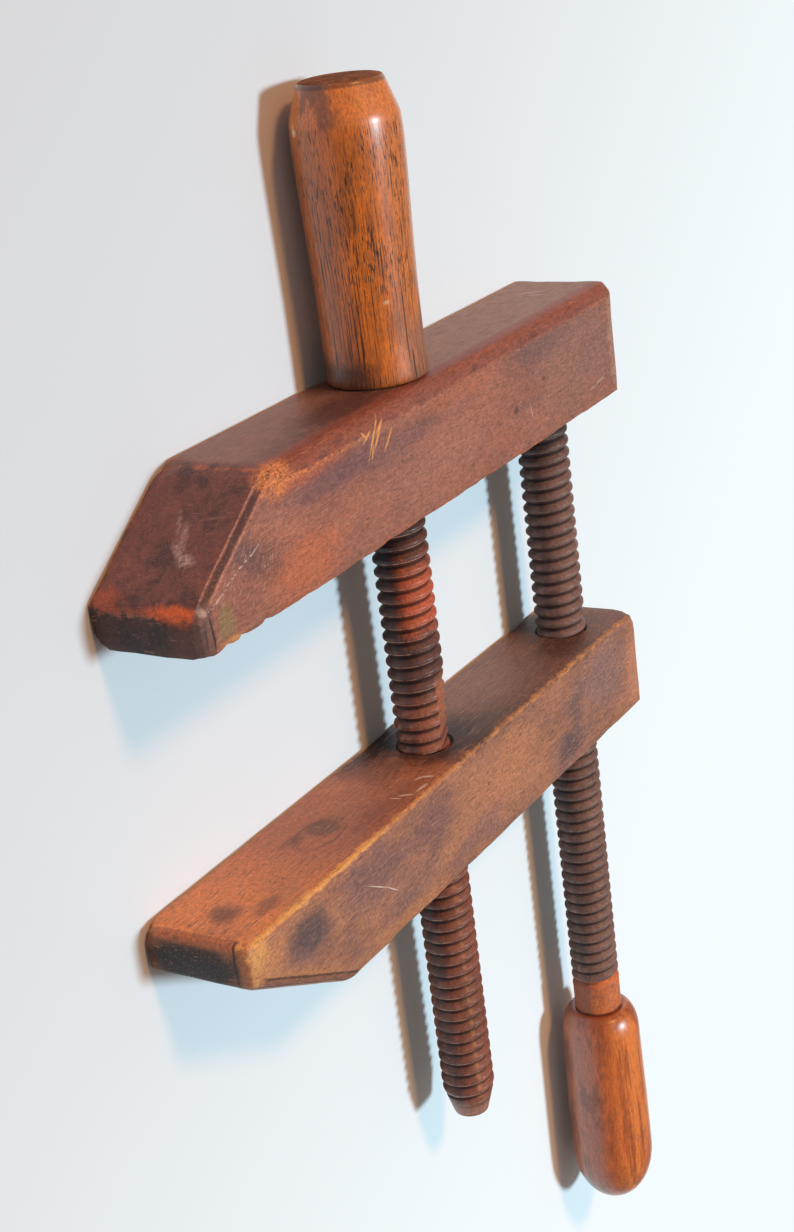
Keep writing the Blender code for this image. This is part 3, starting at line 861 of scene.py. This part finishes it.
def lay_thread(wood, axis, settings, darkening, rim):
    """Darker in the roots, grime and painted shade on the flank below each crest, and a rubbed rim on the
    lower edge of the crests.
    """
    phase = follow_thread(wood, axis, settings)
    from_root = wood.math("PINGPONG", phase, 0.5)
    backwards = -axis.towards
    neck_end = axis.at(settings.neck_length).y
    threaded = wood.math("LESS_THAN", wood.math("MULTIPLY", wood.y, backwards), backwards * neck_end)
    wood.lay((24, 14, 12), darkening, threaded, (from_root, 0.16, 0.04))
    # the flank below each crest faces away from the light: grime and painted shade
    wood.lay((44, 26, 24), darkening * 0.6, threaded, wood.band(phase, 0.04, 0.30, 0.04))
    broken = wood.ease(wood.ragged, 0.42, 0.54)
    wood.lay(rim, 0.8, threaded, wood.band(phase, 0.355, 0.400, 0.020), broken)


def middle_screw_finish(settings):
    wood = Finish("waxed_screw_wood", 2.3, ALONG_Y)
    wood.bare_wood(settings.middle_wood, 0.24)
    along = wood.shaken(wood.math("SUBTRACT", wood.y, 0.012), 0.024)
    wood.lay((200, 94, 60), 0.85, wood.band(along, 0.057, 0.078, 0.005))
    wood.lay((78, 52, 50), 0.75, wood.band(along, 0.036, 0.056, 0.004))
    wood.lay((66, 40, 36), 0.65, wood.band(along, 0.081, 0.102, 0.003))
    wood.lay((160, 92, 68), 0.45, wood.band(along, 0.014, 0.034, 0.004))
    lay_far_side(wood, MIDDLE_AXIS, (50, 30, 28), 0.75)
    shaded = wood.ease(across(wood, MIDDLE_AXIS), 0.000, -0.0060)
    wood.lay((30, 20, 22), 0.8, (wood.y, 0.040, 0.060), shaded)
    lay_thread(wood, MIDDLE_AXIS, settings, 0.75, (240, 182, 150))
    rubbed = wood.ease(depth_behind(wood, *RUBBED_FLAT), 0.0007, 0.0002)
    patchy = wood.ease(wood.speckle, 0.30, 0.50)
    wood.lay((182, 110, 82), 0.85, rubbed, wood.band(wood.y, 0.016, 0.040, 0.003), patchy)
    wood.lay((176, 124, 104), 0.75, (wood.y, -0.1130, -0.1175))
    wood.fine_grain(0.30, 0.12)
    return wood.finish(wood.flecked(0.32, 0.55), 0.3, 0.26, 0.5, 0.4)


def end_screw_finish(settings):
    wood = Finish("worn_screw_wood", 5.9, ALONG_Y)
    wood.bare_wood(settings.end_wood, 0.22)
    lay_far_side(wood, END_AXIS, (48, 36, 36), 0.65)
    wood.lay((52, 40, 38), 0.6, (wood.y, 0.070, 0.090), (wood.ragged, 0.36, 0.50))
    lay_thread(wood, END_AXIS, settings, 0.7, (172, 136, 120))
    neck = wood.ease(wood.shaken(wood.y, 0.0012), -0.1220, -0.1226)
    wood.lay((214, 116, 64), 0.95, neck)
    wood.lay((150, 84, 58), 0.5, neck, (wood.ragged, 0.48, 0.60))
    # the neck is painted darker on the side away from the light: painted shade
    wood.lay((116, 70, 60), 0.7, neck, (across(wood, END_AXIS), -0.001, -0.006))
    wood.lay((60, 36, 30), 0.7, (wood.y, -0.1362, -0.1374))
    wood.fine_grain(0.26, 0.10)
    return wood.finish(wood.flecked(0.38, 0.60), 0.2, 0.3, 0.5, 0.4)


def middle_handle_finish(colour):
    wood = Finish("polished_open_pored_wood", 4.4, ALONG_Y)
    wood.bare_wood(colour, 0.24)
    right = across(wood, MIDDLE_AXIS)
    # the side away from the light is painted browner and the orange streaks go on the lit side only:
    # painted shade and painted light
    side = wood.ease(right, -0.002, -0.013)
    wood.lay((186, 108, 66), 0.7, side)
    warm = wood.noise((7, 26, 7), 5, 0.6)
    wood.lay((236, 122, 28), 0.65, (warm, 0.46, 0.60), (side, 1, 0))
    wood.lay((150, 82, 42), 0.5, (warm, 0.44, 0.34))
    # paler orange along the lit side: painted light
    wood.lay((220, 126, 64), 0.6, (right, 0.006, 0.013))
    along = wood.shaken(wood.math("SUBTRACT", wood.y, 0.007), 0.014)
    # dark at the base on the side away from the light, where the handle meets the jaw: painted shade
    base = wood.both((along, 0.1495, 0.1395), (right, 0.003, -0.005))
    wood.lay((48, 32, 28), 0.95, base, (wood.ragged, 0.72, 0.52))
    wood.lay((142, 98, 84), 0.6, (right, 0.007, 0.011), (wood.y, 0.160, 0.148))
    wood.lay((150, 88, 56), 0.5, (along, 0.1435, 0.1365))
    cone = wood.ease(wood.y, 0.2100, 0.2118)
    wood.lay((226, 126, 62), 0.6, cone)
    # the cone is painted darker on the side away from the light: painted shade
    wood.lay((104, 58, 38), 0.7, cone, (right, 0.000, -0.006), (warm, 0.58, 0.46))
    # open pores: short dark dashes towards the cap and long thin lines towards the base
    crowd = wood.noise((9, 18, 9), 3, 0.5)
    level = wood.ease(crowd, 0.36, 0.60, 0.64, 0.56)
    dashes = wood.ease(wood.math("SUBTRACT", wood.noise((0.34, 3.6, 0.34), 1, 0.5), level), 0.0, 0.05)
    shown = wood.both((wood.y, 0.150, 0.168, 0.25, 1.0), (cone, 0, 1, 1.0, 0.3))
    wood.lay((56, 30, 16), 0.85, dashes, shown)
    lines = wood.ease(wood.noise((0.38, 42, 0.38), 1, 0.5), 0.575, 0.63)
    wood.lay((70, 36, 18), 0.95, lines, (wood.y, 0.196, 0.172, 0.30, 1.0))
    wood.lay((60, 38, 30), 0.6, (wood.y, 0.2208, 0.2214))
    wood.lay_blots(
        ((236, 206, 170), 0.90, (-13.0, 210.0, 9.2), (1.4, 1.0, 1.4), 0.7),
        ((236, 206, 170), 0.60, (-12.5, 211.6, 8.4), (0.9, 1.4, 0.9), 0.7),
        ((236, 196, 150), 0.60, (-8.3, 161.0, 30.4), (1.0, 0.6, 1.0), 0.7),
    )
    wood.fine_grain(0.14, 0.14)
    sunk = wood.math("MULTIPLY", dashes, -1.2)
    return wood.finish(wood.flecked(0.30, 0.46), 1.0, 0.29, 0.3, 0.2, wood.fibre, sunk)


def end_grain_finish():
    wood = Finish("dull_end_grain", 6.2, ALONG_Y)
    wood.bare_wood(tone(132, 84, 60), 0.3)
    wood.fine_grain(0.2, 0.1)
    return wood.finish(0.9, 0, 0.5, 0.3, 0.05, wood.speckle)


def end_handle_finish(colour):
    wood = Finish("polished_red_wood", 8.8, ALONG_Y)
    wood.bare_wood(colour, 0.22)
    streak = wood.noise((3.4, 46, 3.4), 6, 0.65)
    right = across(wood, END_AXIS)
    wood.lay((140, 68, 40), 0.4, (streak, 0.54, 0.66))
    # brighter orange streaks on the lit side and a greyer, pinker side away from the light: painted light
    # and painted shade
    wood.lay((240, 132, 54), 0.8, (streak, 0.56, 0.44), (right, -0.001, 0.006))
    wood.lay((160, 106, 92), 0.7, (right, -0.0010, -0.0085))
    # the dark patches lie on the side away from the light only: painted shade
    patches = wood.noise((5, 16, 5), 6, 0.7)
    wood.lay((92, 56, 50), 0.55, (right, 0.003, -0.005), (patches, 0.46, 0.60))
    wood.lay((120, 62, 42), 0.4, (wood.y, -0.144, -0.1385))
    wood.lay((110, 56, 32), 0.35, (wood.noise((0.45, 4.0, 0.45), 1, 0.5), 0.62, 0.68))
    wood.lay((222, 172, 138), 0.65, (wood.y, -0.2180, -0.2222))
    wood.fine_grain(0.14, 0.12)
    return wood.finish(wood.flecked(0.30, 0.44), 1.0, 0.31, 0.15, 0.2, wood.fibre, wood.speckle)


# ---------------------------------------------------------------------------------------------------
# Jaws


def jaw_corners(low, high, nose_height, bevel_length, outer):
    """The jaw's outline from above, as (x, y) corners: outer is 1 where its outer side looks along +Y."""
    inner_y, outer_y = (low.y, high.y) if outer > 0 else (high.y, low.y)
    return [
        (low.x, inner_y),
        (high.x, inner_y),
        (high.x, outer_y),
        (low.x + bevel_length, outer_y),
        (low.x, inner_y + outer * nose_height),
    ]


def cut_slices(places, direction):
    """In edit mode, cut edge loops all round the piece at these places along a direction."""
    for place in places:
        bpy.ops.mesh.select_all(action="SELECT")
        bpy.ops.mesh.bisect(plane_co=place, plane_no=direction)


def jaw_blank(name, shape, strip, rounding, worn_edge=None):
    """A squared block with its nose bevelled on the outer side, its edges rounded.

    strip is the width of the narrow chamfer that the maker cut along the bevel's upper edge. worn_edge is
    the place and the radius of a long edge that is worn rounder than the others.
    """
    low, high, _, bevel_length, outer = shape
    nothing_selected()
    bpy.ops.mesh.primitive_cube_add(size=1, location=(low + high) / 2, scale=high - low)
    piece = named(name)
    place_in_mesh(piece)
    *_, (_, outer_y), (nose_x, nose_y) = jaw_corners(*shape)
    bevel_normal = Vector((-outer * (outer_y - nose_y), outer * bevel_length, 0)).normalized()
    nose_edge = Vector((nose_x, nose_y, low.z))
    edit_all()
    bpy.ops.mesh.bisect(plane_co=nose_edge, plane_no=bevel_normal, clear_outer=True, use_fill=True)

    def along_bevel_top(edge):
        middle = (edge.verts[0].co + edge.verts[1].co) / 2
        on_bevel = abs((middle - nose_edge).dot(bevel_normal)) < NEAR
        lengthwise = abs((edge.verts[1].co - edge.verts[0].co).z) < NEAR
        return on_bevel and lengthwise and abs(middle.z - high.z) < NEAR

    pick("edges", along_bevel_top)
    bpy.ops.mesh.bevel(offset=strip, segments=1)
    if worn_edge:
        place, radius = worn_edge
        pick("edges", lambda edge: all(
            abs(vert.co.y - place.y) + abs(vert.co.z - place.z) < NEAR for vert in edge.verts))
        bpy.ops.mesh.bevel(offset=radius, segments=5)
    bpy.ops.object.mode_set(mode="OBJECT")
    edges = piece.modifiers.new("Worn edges", "BEVEL")
    edges.width = rounding
    edges.segments = 3
    edges.limit_method = "ANGLE"
    edges.angle_limit = math.radians(20)
    apply_modifiers(piece)

    # more points, close together near the edges, for the knocks to move
    bpy.ops.object.mode_set(mode="EDIT")
    slices = round((high.x - low.x) / 0.0022)
    cut_slices([(low.x + (high.x - low.x) * i / slices, 0, 0) for i in range(1, slices)], (1, 0, 0))
    for inset in (0.0022, 0.0045, 0.0080, 0.0130):
        cut_slices([(0, y, 0) for y in (low.y + inset, high.y - inset)], (0, 1, 0))
        cut_slices([(0, 0, z) for z in (low.z + inset, high.z - inset)], (0, 0, 1))
    bpy.ops.object.mode_set(mode="OBJECT")
    return piece, (nose_edge, bevel_normal)


def feature_edges(shape):
    """The ends of each long or short edge of the jaw before it was worn."""
    low, high = shape[:2]
    corners = jaw_corners(*shape)
    edges = []
    for (x, y), (next_x, next_y) in zip(corners, corners[1:] + corners[:1]):
        edges += [(Vector((x, y, z)), Vector((next_x, next_y, z))) for z in (low.z, high.z)]
        edges.append((Vector((x, y, low.z)), Vector((x, y, high.z))))
    return edges


def distance_to_edges(point, edges):
    """How far a point is from the nearest of the edges."""
    distances = []
    for start, end in edges:
        along = end - start
        share = max(0, min(1, (point - start).dot(along) / along.length_squared))
        distances.append((point - start - along * share).length)
    return min(distances)


def wear_edges(piece, edges, depth, texture_size):
    """Dent the edges with soft, cloudy wear, deepest at the edge itself."""
    reach = 0.0035
    group = piece.vertex_groups.new(name="edges")
    for vert in piece.data.vertices:
        group.add([vert.index], max(0, 1 - distance_to_edges(vert.co, edges) / reach), "REPLACE")
    texture = bpy.data.textures.new("knocks", "CLOUDS")
    texture.noise_scale = texture_size
    texture.noise_depth = 2
    dents = piece.modifiers.new("Knocks", "DISPLACE")
    dents.texture = texture
    dents.texture_coords = "LOCAL"
    dents.vertex_group = group.name
    dents.direction = "NORMAL"
    dents.mid_level = 1.0
    dents.strength = depth * 2
    apply_modifiers(piece)
    piece.vertex_groups.clear()


def knock(piece, at, push, reach):
    """Push the edge in at one place, with a soft falloff round it."""
    place = Vector(at) * MM
    nearest = min(piece.data.vertices, key=lambda vert: (vert.co - place).length).index
    take_up(piece)
    bpy.ops.object.mode_set(mode="EDIT")
    pick("verts", lambda vert: vert.index == nearest)
    bpy.ops.transform.translate(
        value=[part * MM for part in push], use_proportional_edit=True,
        proportional_edit_falloff="SMOOTH", proportional_size=reach * MM)
    bpy.ops.object.mode_set(mode="OBJECT")


def finish_jaw(piece, edges):
    """Clean the carved mesh, and keep each vertex's distance to the nearest edge for the finish's wear."""
    tidy_normals(piece)
    attribute = piece.data.attributes.new("edge_distance", "FLOAT", "POINT")
    for vert in piece.data.vertices:
        attribute.data[vert.index].value = distance_to_edges(vert.co, edges)
    smooth(piece, 32)


def bored(name, axis, near, far, radius, through):
    """A tool for a plain hole with softened mouths, from near to far along the axis."""
    mouth, beyond = 0.0004, 0.002
    outline = [(near - beyond, radius + mouth), (near, radius + mouth), (near + mouth, radius)]
    if through:
        outline += [(far - mouth, radius), (far, radius + mouth), (far + beyond, radius + mouth)]
    else:
        outline += [(far, radius)]
    return turned(name, axis, outline, 64)


class HANDSCREW_OT_plain_jaw(Operator):
    """Model the jaw that the middle screw passes through"""
    bl_idname = "handscrew.plain_jaw"
    bl_label = "Plain jaw"

    def execute(self, context):
        jaws, screws = context.scene.handscrew_jaws, context.scene.handscrew_screws
        shape = (plain_low, plain_high, jaws.plain_nose_height, jaws.plain_bevel_length, 1)
        strip = 0.0024
        worn_edge = (plain_high, 0.0030)
        piece, bevel = jaw_blank("old_plain_jaw", shape, strip, jaws.edge_rounding, worn_edge)
        edges = feature_edges(shape)
        wear_edges(piece, edges, jaws.edge_wear, 0.010)
        for at, push, reach in (
            ((-121, 97, 36), (0.7, 0.6, -0.6), 4),
            ((-110, 97, 36), (0, 0.6, -0.6), 4),
            ((-103, 97, 36), (0, 0.8, -0.6), 3),
            ((-94, 97, 36), (0, 0.5, -0.5), 3),
            ((-121, 97, 0), (1.0, 1.0, 0.8), 5),
            ((-84, 136, 2), (1.0, -1.4, 1.0), 5),
            ((-121, 110, 30), (0.9, -0.6, 0), 6),
            ((124.5, 136, 36), (-0.6, -0.6, -0.4), 3),
        ):
            knock(piece, at, push, reach)
        hole_radius = screws.diameter / 2 + 0.0004
        jaw_top = MIDDLE_AXIS.base.y - plain_high.y
        jaw_bottom = MIDDLE_AXIS.base.y - plain_low.y
        carve(piece, bored("middle_bore", MIDDLE_AXIS, jaw_top, jaw_bottom, hole_radius, True))
        blind_mouth = plain_low.y - END_AXIS.base.y
        blind_end = screws.length + 0.0003
        carve(piece, bored("end_bore", END_AXIS, blind_mouth, blind_end, hole_radius, False))
        finish_jaw(piece, edges)
        give_finish(piece, plain_jaw_finish(jaws.plain_wood, bevel, strip))
        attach(piece, "plain_jaw_body")
        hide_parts("plain_jaw")
        return {"FINISHED"}


class HANDSCREW_OT_threaded_jaw(Operator):
    """Model the jaw whose two tapped holes ride on the screws"""
    bl_idname = "handscrew.threaded_jaw"
    bl_label = "Threaded jaw"

    def execute(self, context):
        jaws, screws = context.scene.handscrew_jaws, context.scene.handscrew_screws
        shape = (
            threaded_low, threaded_high, jaws.threaded_nose_height, jaws.threaded_bevel_length, -1)
        strip = 0.0016
        piece, bevel = jaw_blank("old_threaded_jaw", shape, strip, jaws.edge_rounding)
        edges = feature_edges(shape)
        wear_edges(piece, edges, jaws.edge_wear, 0.012)
        for at, push, reach in (
            ((-124.5, 17, 0), (1.2, -1.2, 0.6), 5),
            ((-124.5, 17, 36), (0.8, -0.8, -0.8), 4),
            ((121.5, 17, 36), (-1.0, -0.8, -0.4), 5),
        ):
            knock(piece, at, push, reach)
        clearance = 0.00025
        mouth = screws.diameter / 2 + clearance + 0.0002
        beyond, countersink = 0.002, 0.0022
        for name, axis in (("middle", MIDDLE_AXIS), ("end", END_AXIS)):
            near, far = sorted(abs(axis.base.y - y) for y in (threaded_low.y, threaded_high.y))
            for face, inwards in ((near, 1), (far, -1)):
                outline = sorted([
                    (face - inwards * beyond, mouth),
                    (face, mouth),
                    (face + inwards * countersink, mouth - countersink),
                ])
                carve(piece, turned(f"{name}_mouth", axis, outline, screws.steps))
            first = math.floor((near - screws.neck_length) / screws.pitch) - 3
            turns = math.ceil((far - near) / screws.pitch) + 6
            carve(piece, threaded_rod(f"{name}_tap", axis, screws, first, turns, clearance))
        finish_jaw(piece, edges)
        give_finish(piece, threaded_jaw_finish(jaws.threaded_wood, bevel, strip))
        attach(piece, "threaded_jaw_body")
        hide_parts("threaded_jaw")
        return {"FINISHED"}


# ---------------------------------------------------------------------------------------------------
# Screws


def screw_piece(name, axis, settings):
    """One wooden screw: a fine thread, a tapered tip, a plain neck and its tenon in the handle."""
    length, neck_length = settings.length, settings.neck_length
    turns = math.ceil((length - neck_length) / settings.pitch) + 4
    piece = threaded_rod(name, axis, settings, -2, turns)
    crest = settings.diameter / 2
    root = crest - settings.depth
    taper_length, end_radius, proud = 0.0114, 0.0056, 0.002
    taper = (crest - end_radius) / taper_length
    tip = [
        (neck_length - 0.001, crest + proud),
        (length - taper_length - proud / taper, crest + proud),
        (length - 0.0018, end_radius + 0.0018 * taper),
        (length - 0.0008, end_radius + 0.0002),
        (length - 0.0002, end_radius - 0.0008),
        (length, end_radius - 0.0020),
    ]
    carve(piece, turned("tip_shape", axis, tip, settings.steps), "INTERSECT")
    tenon_length, tenon_radius = 0.0449, 0.00675
    neck_start, neck_radius = 0.0003, crest - 0.0001
    stem = [
        (-tenon_length, tenon_radius),
        (neck_start, tenon_radius),
        (neck_start + 0.00005, neck_radius),
        (neck_length, neck_radius),
        (neck_length + settings.depth, root - 0.0001),
    ]
    carve(piece, turned("stem", axis, stem, settings.steps), "UNION")
    tidy_normals(piece)
    return piece


class HANDSCREW_OT_screws(Operator):
    """Model both wooden screws"""
    bl_idname = "handscrew.screws"
    bl_label = "Screws"

    def execute(self, context):
        screws = context.scene.handscrew_screws
        middle = screw_piece("worn_middle_screw", MIDDLE_AXIS, screws)
        # the crests are rubbed flat on one side, just above the threaded jaw
        nothing_selected()
        thick = 0.006
        flat, outwards = RUBBED_FLAT
        bpy.ops.mesh.primitive_cube_add(
            size=1, location=flat + outwards * thick / 2, scale=(0.020, 0.025, thick),
            rotation=(math.radians(3.5), math.radians(RUBBED_TURN), 0))
        carve(middle, named("rubbed_flat"))
        smooth(middle, 40)
        give_finish(middle, middle_screw_finish(screws))
        end = screw_piece("worn_end_screw", END_AXIS, screws)
        smooth(end, 40)
        give_finish(end, end_screw_finish(screws))
        for piece, node in ((middle, "middle_screw"), (end, "end_screw")):
            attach(piece, f"{node}_body")
            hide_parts(node)
        return {"FINISHED"}


# ---------------------------------------------------------------------------------------------------
# Handles


def smooth_path(points, pieces):
    """A soft curve through (along, radius) points, as many short pieces."""
    path = []
    ends = [points[0], *points, points[-1]]
    for before, start, end, after in zip(ends, ends[1:], ends[2:], ends[3:]):
        for i in range(pieces):
            t = i / pieces
            weights = (
                -0.5 * t ** 3 + t ** 2 - 0.5 * t,
                1.5 * t ** 3 - 2.5 * t ** 2 + 1,
                -1.5 * t ** 3 + 2 * t ** 2 + 0.5 * t,
                0.5 * t ** 3 - 0.5 * t ** 2,
            )
            path.append(tuple(
                sum(weight * point[k] for weight, point in zip(weights, (before, start, end, after)))
                for k in (0, 1)))
    path.append(points[-1])
    return path


def socket_and(outline):
    """The bore for the screw's tenon, then the outer outline from the base outwards."""
    depth, radius = 0.0452, 0.0069
    return [(-depth, radius), (0, radius)] + [(-along, radius) for along, radius in outline]


def barrel_outline(length):
    """A softly swelling barrel with a short cone on its end."""
    swell = smooth_path(
        [
            (0.0016, 0.01525),
            (0.008, 0.01508),
            (0.014, 0.01500),
            (0.030, 0.01515),
            (0.048, 0.01570),
            (0.062, 0.01612),
            (0.070, 0.01622),
            (length - 0.0118, 0.01600),
        ],
        4)
    cone = rounded_path(
        [swell[-1], (length - 0.0103, 0.01570), (length - 0.0006, 0.01230), (length - 0.0001, 0.0100)],
        0.0024, 6)
    return [(0, 0.0142), (0.0003, 0.0148), (0.0009, 0.01515)] + swell[:-1] + cone + [(length, 0.0012)]


def bottle_outline(length):
    """A round shoulder, a straight swell and a round end, both from quarter circles."""
    shoulder = [
        (0.0105 * (1 - math.cos(angle)), 0.00965 + 0.0050 * math.sin(angle))
        for angle in (math.pi / 2 * i / 14 for i in range(15))
    ]
    swell = smooth_path([(0.0105, 0.01465), (0.026, 0.01495), (0.044, 0.01530), (0.063, 0.01545)], 5)
    end = [
        (0.063 + 0.0225 * math.sin(angle), 0.01545 * math.cos(angle) ** 0.9)
        for angle in (math.pi / 2 * i / 22 for i in range(1, 22))
    ]
    return [(0.0001, 0.0091)] + shoulder + swell[1:] + end + [(length, 0.0007)]


class HANDSCREW_OT_handles(Operator):
    """Turn the barrel handle and the bottle handle"""
    bl_idname = "handscrew.handles"
    bl_label = "Handles"

    def execute(self, context):
        handles = context.scene.handscrew_handles
        outline = socket_and(barrel_outline(handles.middle_length))
        middle = turned("barrel_handle", MIDDLE_AXIS, outline, handles.facets)
        smooth(middle, 50)
        give_finish(middle, middle_handle_finish(handles.middle_wood))
        middle.data.materials.append(end_grain_finish())
        disc_y = MIDDLE_AXIS.at(-handles.middle_length).y - 0.0009
        for face in middle.data.polygons:
            if face.center.y > disc_y:
                face.material_index = 1

        outline = socket_and(bottle_outline(handles.end_length))
        bottle = turned("bottle_handle", END_AXIS, outline, handles.facets)
        smooth(bottle, 50)
        give_finish(bottle, end_handle_finish(handles.end_wood))
        for piece, body_name, node in (
            (middle, "middle_screw_body", "middle_handle"), (bottle, "end_screw_body", "end_handle")):
            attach(piece, body_name)
            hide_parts(node)
        return {"FINISHED"}


# ---------------------------------------------------------------------------------------------------
# Studio


def soft_light(name, towards, strength, colour, angle):
    """A distant light that shines from a direction, with soft shadows."""
    lamp = bpy.data.lights.new(name, "SUN")
    lamp.energy = strength
    lamp.color = colour
    lamp.angle = math.radians(angle)
    light = bpy.data.objects.new(name, lamp)
    bpy.context.scene.collection.objects.link(light)
    light.rotation_euler = Vector(towards).to_track_quat("Z", "Y").to_euler()


def floor_finish(settings):
    """Pale, and on one side a little cooler and lighter: painted light."""
    material = bpy.data.materials.new("pale_floor")
    material.use_nodes = True
    nodes = Nodes(material.node_tree)
    place = nodes.node("ShaderNodeTexCoord").outputs["Object"]
    cool = nodes.ease(nodes.number("DOT_PRODUCT", place, (0.62, -0.78, 0)), -0.40, 0.24)
    shader = material.node_tree.nodes["Principled BSDF"]
    nodes.feed(
        shader.inputs["Base Color"], nodes.mix(cool, settings.floor_colour, settings.floor_far_colour))
    shader.inputs["Roughness"].default_value = 0.9
    shader.inputs["Specular IOR Level"].default_value = 0.1
    return material


def room_light(strength):
    """Even warm light from all sides, from a room that the camera sees as white."""
    world = bpy.data.worlds.new("room")
    world.use_nodes = True
    nodes = Nodes(world.node_tree)
    seen = nodes.node("ShaderNodeLightPath").outputs["Is Camera Ray"]
    colour = nodes.mix(seen, Vector((1, 0.92, 0.84)) * strength, (1, 1, 1))
    nodes.feed(world.node_tree.nodes["Background"].inputs["Color"], colour)
    return world


class HANDSCREW_OT_studio(Operator):
    """Set up the floor, the lights and the camera"""
    bl_idname = "handscrew.studio"
    bl_label = "Studio"

    def execute(self, context):
        settings = context.scene.handscrew_studio
        nothing_selected()
        bpy.ops.mesh.primitive_plane_add(size=settings.floor_size, location=(0, 0, -0.0001))
        floor = named("floor")
        place_in_mesh(floor)
        give_finish(floor, floor_finish(settings))

        soft_light("cool_light", (0.10, 0.07, 1), settings.cool_strength, (0.65, 0.88, 1.0), 8.5)
        soft_light("warm_light", (-0.10, 0.70, 0.70), settings.warm_strength, (1.0, 0.42, 0.11), 10)
        context.scene.world = room_light(settings.room_strength)

        lens = bpy.data.cameras.new("camera")
        camera = bpy.data.objects.new("camera", lens)
        context.scene.collection.objects.link(camera)
        lens.sensor_width = 36
        lens.lens = settings.camera_lens
        camera.location = settings.camera_place
        camera.rotation_euler = Euler(settings.camera_turn)
        context.scene.camera = camera
        context.scene.view_settings.view_transform = "Standard"
        return {"FINISHED"}


class HANDSCREW_PT_panel(Panel):
    """Buttons that build each piece of the clamp and the studio"""
    bl_idname = "HANDSCREW_PT_panel"
    bl_label = "Handscrew clamp"
    bl_space_type = "VIEW_3D"
    bl_region_type = "UI"
    bl_category = "Handscrew"

    def draw(self, context):
        for operator in OPERATORS:
            self.layout.operator(operator.bl_idname)


OPERATORS = (
    HANDSCREW_OT_plain_jaw,
    HANDSCREW_OT_threaded_jaw,
    HANDSCREW_OT_screws,
    HANDSCREW_OT_handles,
    HANDSCREW_OT_studio,
)
SETTINGS = {
    "handscrew_jaws": JawSettings,
    "handscrew_screws": ScrewSettings,
    "handscrew_handles": HandleSettings,
    "handscrew_studio": StudioSettings,
}
CLASSES = (*SETTINGS.values(), *OPERATORS, HANDSCREW_PT_panel)


def register():
    for kind in CLASSES:
        bpy.utils.register_class(kind)
    for name, group in SETTINGS.items():
        setattr(bpy.types.Scene, name, PointerProperty(type=group))


def unregister():
    for name in SETTINGS:
        delattr(bpy.types.Scene, name)
    for kind in reversed(CLASSES):
        bpy.utils.unregister_class(kind)


def main():
    register()
    bpy.ops.handscrew.plain_jaw()
    bpy.ops.handscrew.threaded_jaw()
    bpy.ops.handscrew.screws()
    bpy.ops.handscrew.handles()
    bpy.ops.handscrew.studio()


if __name__ == "__main__":
    main()
